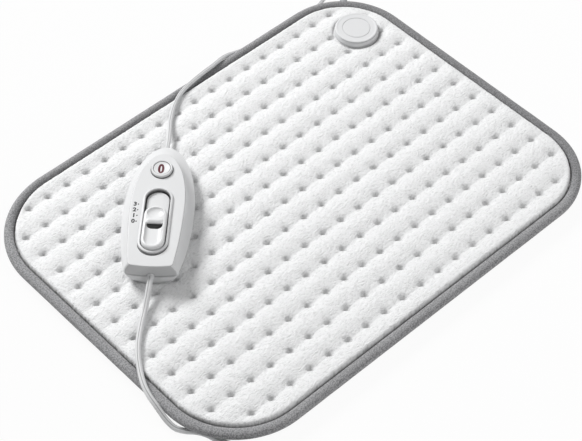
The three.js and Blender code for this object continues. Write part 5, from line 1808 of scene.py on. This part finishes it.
@dataclass
class LowerShell:
    """The controller's bowl, with its four sunk screw holes."""

    housing: Housing
    curve: float = 2.3
    foot: float = 0.42
    screws: Pairs = SCREW_PLACES
    boss_radius: float = 3.6
    shank_radius: float = 1.6
    mouth_radius: float = 2.5
    screw_hole: Pairs = ((3.2, -1.0), (3.2, 0.6), (2.9, 1.2), (2.9, 4.2))
    parting_dusk: float = 0.6
    low_dusk: float = 0.5
    end_dusk: float = 0.12

    def fall(self, share: float) -> float:
        """How far the bowl has risen at a share of its width."""
        return 1 - (1 - share**self.curve) ** (1 / self.curve)

    def bowl_ring(self, share: float, wall: float) -> Ring:
        """One ring of the bowl."""
        h = self.housing
        foot = self.fall(self.foot)
        top = h.parting - h.gap / 2
        z = wall + (top - wall) * (self.fall(share) - foot) / (1 - foot)
        return h.ring(h.half_width * share - wall, h.nose * share - wall, h.front, wall, z)

    def build(self, dresser: Dresser) -> Piece:
        """Make the bowl."""
        h = self.housing
        shares = [self.foot, 0.46, 0.52, 0.6, 0.68, 0.76, 0.84, 0.9, 0.94, 0.97, 0.99, 1.0]
        piece = BENCH.loft("lower_cover", [self.bowl_ring(share, 0.0) for share in shares])
        inside = [self.bowl_ring(share, h.wall) for share in (self.foot, 0.6, 0.8, 0.93, 1.0)]
        lid = inside[-1].copy()
        lid[:, 2] += 1.0
        BENCH.form(piece, "hollow", [*inside, lid], Cut.TAKE)
        for x, y in self.screws:
            low, high = Vector((x, y, 1.9)), Vector((x, y, 10.3))
            BENCH.work(piece, BENCH.rod("boss", self.boss_radius, low, high, 24), Cut.ADD)
            rings = [circle(radius, z, 32, x, y) for radius, z in self.screw_hole]
            BENCH.form(piece, "sunk", rings, Cut.TAKE)
            low, high = Vector((x, y, 3.0)), Vector((x, y, 11.5))
            BENCH.work(piece, BENCH.rod("shank", self.shank_radius, low, high, 20), Cut.TAKE)
        BENCH.work(piece, h.port(), Cut.TAKE)
        low, high = Vector((0, 134, PAD_EXIT_Z)), Vector((0, 143, PAD_EXIT_Z))
        BENCH.work(piece, BENCH.rod("mouth", self.mouth_radius, low, high), Cut.TAKE)
        BENCH.settle(piece, SEAT.matrix(), sharp=34.0, weighted=True)
        BENCH.mark(piece, "shade", self.dusk)
        return dresser.dress(piece, "shell", Body.PAD, "lower_shell")

    def dusk(self, points: Array, facing: Array) -> Array:
        """Painted shade on the bowl: in the parting gap, low down by the pile, and on its end.

        Args:
            points: Places in millimetres, in the part's frame.
            facing: Directions of their faces.

        Returns:
            The share of darkness.
        """
        _, y, z = SEAT.local(points).T
        parting = (z > self.housing.parting - 0.5) * self.parting_dusk
        low = smooth((5.5 - z) / 5.0) * self.low_dusk
        # Painted shade: the end face darker, as it faces away from the light.
        end = (y < 0.35) * (SEAT.away(facing) > 0.9) * self.end_dusk
        return np.maximum.reduce([parting, low, end])


@dataclass
class SlideKnob:
    """The knob: a deep trough in front of a thumb ridge and a scoop behind it."""

    half: float = 9.7
    front: float = 15.35
    length: float = 46.95
    base: float = 21.6
    top: float = 28.2
    rake: float = 1.6
    edge: float = 2.2
    trough_half: float = 7.1
    trough_front: float = 17.9
    trough_end: float = 41.5
    trough_depth: float = 2.7
    pocket_half: float = 6.7
    pocket_reach: float = 4.3
    pocket_floor: float = 22.4
    undercut: float = 1.4
    ridge_radius: float = 2.5
    ridge_z: float = 26.7
    ridge: Pairs = (
        (0.4, -7.0), (1.5, -6.75), (2.2, -6.1), (2.5, -5.0),
        (2.5, 5.0), (2.2, 6.1), (1.5, 6.75), (0.4, 7.0),
    )
    scoop_middle: float = 52.4
    scoop_size: Triple = (7.0, 5.6, 2.3)
    stem_low: Triple = (-2.2, 31.8, 15.7)
    stem_high: Triple = (2.2, 45.8, 22.2)
    voxel: float = 0.3
    dusk_share: float = 0.88

    def trough(self) -> Piece:
        """The trough, round in front and steep behind, as a tool body."""
        rings = []
        levels = [(0.3, 1.0), (0.5, 0.97), (0.66, 0.9), (0.8, 0.76), (0.91, 0.54), (0.98, 0.26)]
        levels += [(1.02, 0.0), (1.12, -0.5)]
        for share, down in levels:
            half = self.trough_half * share
            front = self.trough_front + self.trough_half - half
            z = self.top - down * self.trough_depth
            ring = stadium(half, front, self.trough_end + half, z, 16)
            ring[:, 1] = np.minimum(ring[:, 1], self.trough_end)
            ring[17:, 0] = np.linspace(half, -half, 17)
            rings.append(ring)
        return BENCH.loft("trough", rings)

    def pocket(self) -> Piece:
        """The deep half-round pocket in front of the ridge and under it, as a tool body."""
        rings = []
        levels = [(0.9, 1.0, self.pocket_floor), (0.98, 1.0, self.pocket_floor + 0.5)]
        levels += [(1.0, 1.0, 25.7), (1.0, 0.0, 26.3), (1.0, 0.0, self.top + 0.8)]
        for share, under, z in levels:
            half, reach = self.pocket_half * share, self.pocket_reach * share
            back = self.trough_end + self.undercut * under
            angle = math.pi * (1 + np.arange(25) / 24)
            c, s = np.cos(angle), np.sin(angle)
            x = half * bent(c, 0.8)
            y = self.trough_end - reach * np.abs(s) ** 0.8
            x = np.concatenate([x, np.linspace(half, -half, 9)])
            y = np.concatenate([y, np.full(9, back)])
            rings.append(np.stack([x, y, np.full(len(x), z)], axis=1))
        return BENCH.loft("pocket", rings)

    def scoop(self) -> Piece:
        """The scoop behind the ridge, a stretched ball, as a tool body."""
        steps = 14
        place = np.array((0.0, self.scoop_middle, self.top))
        rings = []
        for i in range(steps + 1):
            angle = math.pi * (i / steps - 0.5)
            ring = circle(max(math.cos(angle), 0.02), math.sin(angle), 32)
            rings.append(ring * np.array(self.scoop_size) + place)
        return BENCH.loft("scoop", rings)

    def dusk(self, points: Array, facing: Array) -> Array:
        """Painted shade inside the knob's pocket, under the ridge.

        Args:
            points: Places in millimetres, in the part's frame.
            facing: Directions of their faces.

        Returns:
            The share of darkness.
        """
        x, y, z = SEAT.local(points).T
        inside = (y > self.trough_end - self.pocket_reach - 0.6) & (y < self.trough_end + 2.0)
        inside &= np.abs(x) < self.pocket_half + 0.5
        floor = self.top - self.trough_depth
        back = smooth((26.2 - z) / 0.8) * (y > self.trough_end - 1.0)
        deep = smooth((floor - 0.15 - z) / 0.5)
        return np.maximum(back, deep) * inside * self.dusk_share

    def build(self, dresser: Dresser) -> Piece:
        """Make the knob, then soften it all over as its mould does."""
        back = self.front + self.length
        rings = [stadium(self.half, self.front, back, self.base)]
        for c, s in quarter_turn(first=0):
            inset = self.edge * (1 - c)
            z = self.top - self.edge + self.edge * s
            end = back - inset - self.rake
            rings.append(stadium(self.half - inset, self.front + inset, end, z))
        piece = BENCH.loft("slide_grip", rings)
        BENCH.work(piece, self.trough(), Cut.TAKE)
        BENCH.work(piece, self.scoop(), Cut.TAKE)
        ridge = BENCH.loft("ridge", turned_rings(self.ridge, 32))
        ridge_y = self.trough_end + self.ridge_radius
        BENCH.put(ridge, moved(0, ridge_y, self.ridge_z) @ turned(90, "Y"))
        BENCH.work(piece, ridge, Cut.ADD)
        BENCH.work(piece, self.pocket(), Cut.TAKE)
        BENCH.work(piece, BENCH.block("stem", self.stem_low, self.stem_high), Cut.ADD)
        BENCH.modify(piece, "REMESH", mode="VOXEL", voxel_size=self.voxel * MM)
        BENCH.modify(piece, "SMOOTH", factor=0.5, iterations=4)
        BENCH.settle(piece, SEAT.matrix(), sharp=80.0)
        BENCH.mark(piece, "shade", self.dusk)
        return dresser.dress(piece, "knob", Body.SLIDER, "slide_knob")


@dataclass
class OffButton:
    """The round button at the nose, dished for a fingertip, with its red 0."""

    y: float = BUTTON_Y
    top: float = 24.75
    foot: Pairs = (
        (2.0, 13.7), (2.2, 13.9), (2.2, 19.1), (10.2, 19.1), (10.4, 19.3), (10.4, 20.4),
        (10.2, 20.6), (6.95, 20.62), (6.95, 22.8), (6.95, 23.8), (6.95, 24.45),
    )
    edge: float = 0.3
    dish: float = 0.8
    dish_radius: float = 6.5
    zero_lift: float = 0.06
    zero_root: float = -0.1
    dusk_share: float = 0.9
    zero_width: float = 5.3
    zero_height: float = 10.4
    zero_x: float = -0.65
    zero_y: float = 103.8
    zero_stroke: float = 1.95

    def dished(self, reach: Any) -> Any:
        """Height of the dish at a distance from its middle."""
        return self.top - self.dish * (1 - np.minimum(reach / self.dish_radius, 1.0) ** 2)

    def build(self, dresser: Dresser) -> Piece:
        """Turn the button: stem, flange, side, round edge and dish."""
        profile = list(self.foot)
        radius, z = profile[-1]
        for c, s in quarter_turn():
            profile.append((radius - self.edge + self.edge * c, z + self.edge * s))
        for reach in (6.4, 6.1, 5.4, 4.2, 3.0, 1.8, 0.8):
            profile.append((reach, float(self.dished(reach))))
        piece = BENCH.loft("off_cap", turned_rings(profile, 72))
        BENCH.settle(piece, SEAT.matrix() @ moved(0, self.y, 0), sharp=40.0, weighted=True)
        BENCH.mark(piece, "shade", self.dusk)
        return dresser.dress(piece, "knob", Body.BUTTON, "off_button")

    def dusk(self, points: Array, facing: Array) -> Array:
        """Painted shade on the cap's foot and flange, down in the hole.

        Args:
            points: Places in millimetres, in the part's frame.
            facing: Directions of their faces.

        Returns:
            The share of darkness.
        """
        x, y, z = SEAT.local(points).T
        return smooth((24.7 - z) / 0.5) * (np.hypot(x, y - self.y) > 6.8) * self.dusk_share

    def zero(self, dresser: Dresser) -> Piece:
        """Print the red 0 as a thin oval ring that follows the dish."""
        rings = []
        half_x, half_y, stroke = self.zero_width / 2, self.zero_height / 2, self.zero_stroke
        root, lift = self.zero_root, self.zero_lift
        for inset, rise in ((0, root), (0, lift), (stroke, lift), (stroke, root)):
            angle = full_turn(56)
            x = (half_x - inset) * bent(np.cos(angle), 0.85)
            y = (half_y - inset) * np.sin(angle)
            x, y = x + self.zero_x, y + self.zero_y
            z = self.dished(np.hypot(x, y - self.y)) + rise
            rings.append(np.stack([x, y, z], axis=1))
        rings.append(rings[0])
        piece = BENCH.loft("zero_print", rings, open_ends=True)
        BENCH.settle(piece, SEAT.matrix(), sharp=40.0)
        return dresser.dress(piece, "red_print", Body.BUTTON, slot="knob")


@dataclass
class ButtonSpring:
    """The coil under the off button, which gives way as the button goes down."""

    y: float = BUTTON_Y
    radius: float = 5.2
    wire: float = 0.45
    turns: int = 4
    steps: int = 24
    sides: int = 8
    travel: float = 1.2

    def build(self, dresser: Dresser) -> Piece:
        """Wind the wire."""
        low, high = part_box("button_spring")
        base, rise = low.z / MM - SEAT.z, (high.z - low.z) / MM
        count = self.turns * self.steps
        rings = []
        for i in range(count + 1):
            angle = 2 * math.pi * i / self.steps
            middle = base + self.wire + (rise - 2 * self.wire) * i / count
            section = circle(self.wire, 0.0, self.sides)
            reach = self.radius + section[:, 0]
            x, y = reach * math.cos(angle), self.y + reach * math.sin(angle)
            rings.append(np.stack([x, y, middle + section[:, 1]], axis=1))
        piece = BENCH.loft("push_spring", rings)
        BENCH.settle(piece, SEAT.matrix(), sharp=60.0)
        dresser.dress(piece, "steel", Body.PAD, "button_spring")
        foot = Vector(SEAT.place(0.0, self.y, base)) * MM
        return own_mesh(piece)


@dataclass
class SettingMarks:
    """The printed settings 0 to 3 and their dots beside the well."""

    x: float = -18.4
    dot_x: float = -15.85
    first_y: float = 46.8
    step: float = 6.13
    top: float = SHELL_TOP
    figure: float = 5.6
    dot_radius: float = 0.62
    bold: float = 0.26

    def figures(self) -> Piece:
        """Print the four figures as one thin piece."""
        made = []
        for k in range(4):
            BENCH.clear()
            bpy.ops.object.text_add()
            text = bpy.context.object
            text.data.body = str(k)
            text.data.size = self.figure * MM
            text.data.align_x = "CENTER"
            text.data.align_y = "CENTER"
            text.data.extrude = 0.03 * MM
            text.data.offset = self.bold * MM
            text.data.resolution_u = 4
            text.location = Vector((self.x, self.first_y + self.step * k, self.top + 0.02)) * MM
            bpy.ops.object.convert(target="MESH")
            bpy.ops.object.transform_apply(location=True, rotation=True, scale=True)
            made.append(bpy.context.object)
        for k in range(4):
            y = self.first_y + self.step * k
            profile = [(self.dot_radius, -0.02), (self.dot_radius, 0.04), (0.3, 0.06)]
            dot = BENCH.loft("dot", turned_rings(profile, 16))
            BENCH.put(dot, moved(self.dot_x, y, self.top))
            made.append(dot)
        BENCH.clear()
        for piece in made:
            piece.select_set(True)
        bpy.context.view_layer.objects.active = made[0]
        bpy.ops.object.join()
        return BENCH.named("setting_figures")

    def build(self, dresser: Dresser) -> Piece:
        """Print the settings on the cover."""
        piece = self.figures()
        BENCH.settle(piece, SEAT.matrix(), sharp=30.0)
        return dresser.dress(piece, "grey_print", Body.PAD, slot="shell")


@dataclass
class Reliefs:
    """The tapered sleeves where both leads leave the controller."""

    mains: Pairs = (
        (2.55, -1.4), (2.8, -1.35), (3.0, -1.05), (3.0, 2.3), (4.2, 2.3), (4.2, 3.8),
        (3.0, 3.8), (2.85, 6.0), (2.5, 8.0),
    )
    pad: Pairs = (
        (1.9, -0.5), (2.05, -0.45), (2.2, -0.25), (2.2, 2.3), (3.0, 2.3), (3.0, 3.6),
        (2.2, 3.6), (2.0, 6.0),
    )

    def build(self, dresser: Dresser) -> list[Piece]:
        """Make both sleeves."""
        sleeves = (
            ("mains_sleeve", "mains_strain_relief", self.mains, 0.0, MAINS_EXIT_Z, -90),
            ("lead_sleeve", "lead_strain_relief", self.pad, PAD_EXIT_Y, PAD_EXIT_Z, 90),
        )
        made = []
        for name, node, profile, y, z, turn in sleeves:
            piece = BENCH.loft(name, turned_rings(profile, 40))
            BENCH.settle(piece, SEAT.matrix() @ moved(0, y, z) @ turned(turn, "X"), sharp=38.0)
            dresser.dress(piece, "jacket", Body.PAD, node)
            made.append(piece)
        return made


@dataclass
class HousingScrews:
    """Four cross-headed screws in the bowl."""

    places: Pairs = SCREW_PLACES
    seat: float = 3.9
    slot_width: float = 0.28
    slot_reach: float = 1.5
    spin: float = 0.7
    profile: Pairs = (
        (0.6, -1.55), (1.6, -1.5), (2.3, -1.25), (2.6, -0.8),
        (2.6, 0.0), (1.3, 0.0), (1.3, 9.5), (0.9, 10.8),
    )

    def build(self, dresser: Dresser) -> None:
        """Model one screw and set it four times."""
        first = BENCH.loft("screw", turned_rings(self.profile, 28))
        for wide, long in ((self.slot_width, self.slot_reach), (self.slot_reach, self.slot_width)):
            low, high = (-wide, -long, -2.2), (wide, long, -0.75)
            BENCH.work(first, BENCH.block("slot", low, high), Cut.TAKE)
        for k, (x, y) in enumerate(self.places):
            piece = bpy.data.objects.new(f"screw_{k + 1}", first.data.copy())
            bpy.context.collection.objects.link(piece)
            place = moved(x, y, self.seat) @ Matrix.Rotation(self.spin * k, 4, "Z")
            BENCH.settle(piece, SEAT.matrix() @ place, sharp=35.0)
            node = f"housing_screw_{k + 1}"
            dresser.dress(piece, "steel", Body.PAD, node)
        bpy.data.objects.remove(first, do_unlink=True)


# ---------------------------------------------------------------- plug


@dataclass
class Plug:
    """The flat two-pin plug at the end of the coiled lead."""

    x: float = -225.0
    y: float = -229.2
    z: float = 6.85
    relief: float = 24.0
    length: float = 36.0
    width: float = 35.3
    height: float = 13.7
    neck_width: float = 12.0
    neck_height: float = 10.0
    squareness: float = 5.0
    pin_gap: float = 18.6
    pin: Pairs = ((2.0, 0.0), (2.0, 8.0), (1.9, 8.1), (1.9, 17.6), (1.6, 18.5), (0.9, 19.0))

    def lay(self, piece: Piece, sharp: float) -> Piece:
        """Lay a piece that was made upright along the plug's axis."""
        return BENCH.settle(piece, moved(self.x, self.y, self.z) @ turned(-90, "Y"), sharp)

    def ring(self, width: float, height: float, along: float) -> Ring:
        """A soft rectangle at one place along the plug."""
        angle = full_turn(48)
        x = height / 2 * bent(np.cos(angle), 2 / self.squareness)
        y = width / 2 * bent(np.sin(angle), 2 / self.squareness)
        return np.stack([x, y, np.full(len(angle), along)], axis=1)

    def body(self) -> Piece:
        """The plug's body: slim neck, finger waist, full head with round edges."""
        start = self.relief + 0.3
        stations = (
            (0.0, 0.0, 0.02), (0.03, 0.0, 0.1), (0.12, 0.0, 0.2), (0.26, 0.45, 0.31),
            (0.45, 1.0, 0.42), (0.76, 1.0, 0.52), (1.0, 1.0, 0.62), (1.0, 1.0, 0.8),
            (1.0, 1.0, 0.96), (0.99, 0.98, 0.99), (0.95, 0.92, 1.0),
        )
        rings = [self.ring(self.neck_width * 0.9, self.neck_height * 0.9, start)]
        for wide, high, along in stations:
            width = self.neck_width + (self.width - self.neck_width) * wide
            height = self.neck_height + (self.height - self.neck_height) * high
            rings.append(self.ring(width, height, start + self.length * along))
        return BENCH.loft("plug_case", rings)

    def build(self, dresser: Dresser) -> list[Piece]:
        """Make the plug with its sleeve and pins."""
        made = []
        case = self.lay(self.body(), 40.0)
        dresser.dress(case, "jacket", Body.PAD, "plug_body")
        profile = [(2.8, 0.0), (3.0, 0.2)]
        for rib in range(6):
            start = 1.2 + rib * 3.6
            radius = 3.1 + rib * 0.15
            profile += [(radius, start), (radius, start + 2.4)]
            profile += [(radius - 0.5, start + 2.7), (radius - 0.5, start + 3.4)]
        profile += [(4.0, 23.2), (4.0, 24.0)]
        sleeve = self.lay(BENCH.loft("plug_sleeve", turned_rings(profile, 40)), 35.0)
        dresser.dress(sleeve, "jacket", Body.PAD, "plug_strain_relief")
        made += [case, sleeve]
        start = self.relief + self.length + 0.6
        for k, side in enumerate((-1, 1)):
            pin = BENCH.loft(f"plug_prong_{k + 1}", turned_rings(self.pin, 32))
            BENCH.put(pin, moved(0, side * self.pin_gap / 2, start))
            self.lay(pin, 35.0)
            node = f"plug_pin_{k + 1}"
            dresser.dress(pin, "steel", Body.PAD, node)
            made.append(pin)
        return made


@dataclass
class CoilTie:
    """A soft band that holds the coil's turns together."""

    coil_x: float = COIL_X
    coil_y: float = COIL_Y
    inner: float = 17.85
    outer: float = 41.4
    low: float = 0.6
    high: float = 11.3
    width: float = 10.0

    def build(self, dresser: Dresser) -> Piece:
        """Make the band as a rounded loop with soft edges."""
        rings = []
        half = self.width / 2
        section = [(0.0, half), (0.0, -half), (0.35, -half), (0.6, -half + 0.25)]
        section += [(0.6, half - 0.25), (0.35, half)]
        middle = (self.inner + self.outer) / 2
        level = (self.low + self.high) / 2
        for grow, across in section:
            ring = []
            for i in range(72):
                angle = 2 * math.pi * i / 72
                c, s = math.cos(angle), math.sin(angle)
                reach = (self.outer - self.inner) / 2 + grow
                rise = (self.high - self.low) / 2 + grow
                out = middle + reach * math.copysign(abs(c) ** 0.35, c)
                z = level + rise * math.copysign(abs(s) ** 0.35, s)
                ring.append((self.coil_x - out, self.coil_y + across, z))
            rings.append(np.array(ring))
        rings.append(rings[0])
        piece = BENCH.loft("coil_band", rings, open_ends=True)
        BENCH.settle(piece, sharp=40.0)
        return dresser.dress(piece, "black_plastic", Body.PAD, "coil_tie")


# ---------------------------------------------------------------- inner parts


def dress_inner_parts(dresser: Dresser) -> None:
    """Give every solid inside the pad and the controller its material.

    Args:
        dresser: What dresses them.
    """
    inner = {
        "wadding": ("wadding_layer",),
        "carrier": ("heater_carrier",),
        "insulation": ("heating_wire", "lead_conductor_live", "lead_conductor_neutral"),
        "disc": ("junction_base", "junction_clamp_plate"),
        "black_plastic": (
            "terminal_block", "slider_carriage", "switch_housing", "tact_switch",
            "suppression_capacitor", "triac",
        ),
        "steel": ("pad_thermal_fuse",),
        "brass": ("switch_wiper",),
        "board": ("circuit_board",),
        "resistor": ("dropper_resistor",),
        "glass": ("mains_fuse",),
    }
    for finish, nodes in inner.items():
        for node in nodes:
            dresser.coat(node, finish)
    LOG.info("%d inner parts dressed", sum(len(nodes) for nodes in inner.values()))


def main() -> None:
    """Build the studio, the leads and the pad with everything on it."""
    logging.basicConfig(level=logging.INFO, format="%(message)s")
    noise.seed_set(NOISE_SEED)
    Studio().build()
    dresser = Dresser(make_finishes())
    mains, pad_lead = MainsLead(), PadLead()
    mains_piece, pad_lead_piece = mains.build(dresser), pad_lead.build(dresser)
    plug = Plug().build(dresser)
    tie = CoilTie().build(dresser)
    reliefs = Reliefs().build(dresser)
    gland = Gland().build(dresser)
    mains.declare(mains_piece, [*plug, tie, reliefs[0]])
    pad_lead.declare(pad_lead_piece, [gland, reliefs[1]])
    outline = PadOutline()
    FleeceCover(outline).build(dresser)
    EdgeBinding(outline).build(dresser)
    BottomCover(outline).build(dresser)
    JunctionCap().build(dresser)
    housing, well = Housing(), Well()
    UpperShell(Housing(corner=2.2), well).build(dresser)
    LowerShell(housing).build(dresser)
    SlideKnob().build(dresser)
    button = OffButton()
    button.build(dresser)
    button.zero(dresser)
    ButtonSpring().build(dresser)
    SettingMarks().build(dresser)
    HousingScrews().build(dresser)
    dress_inner_parts(dresser)


if __name__ == "__main__":
    main()
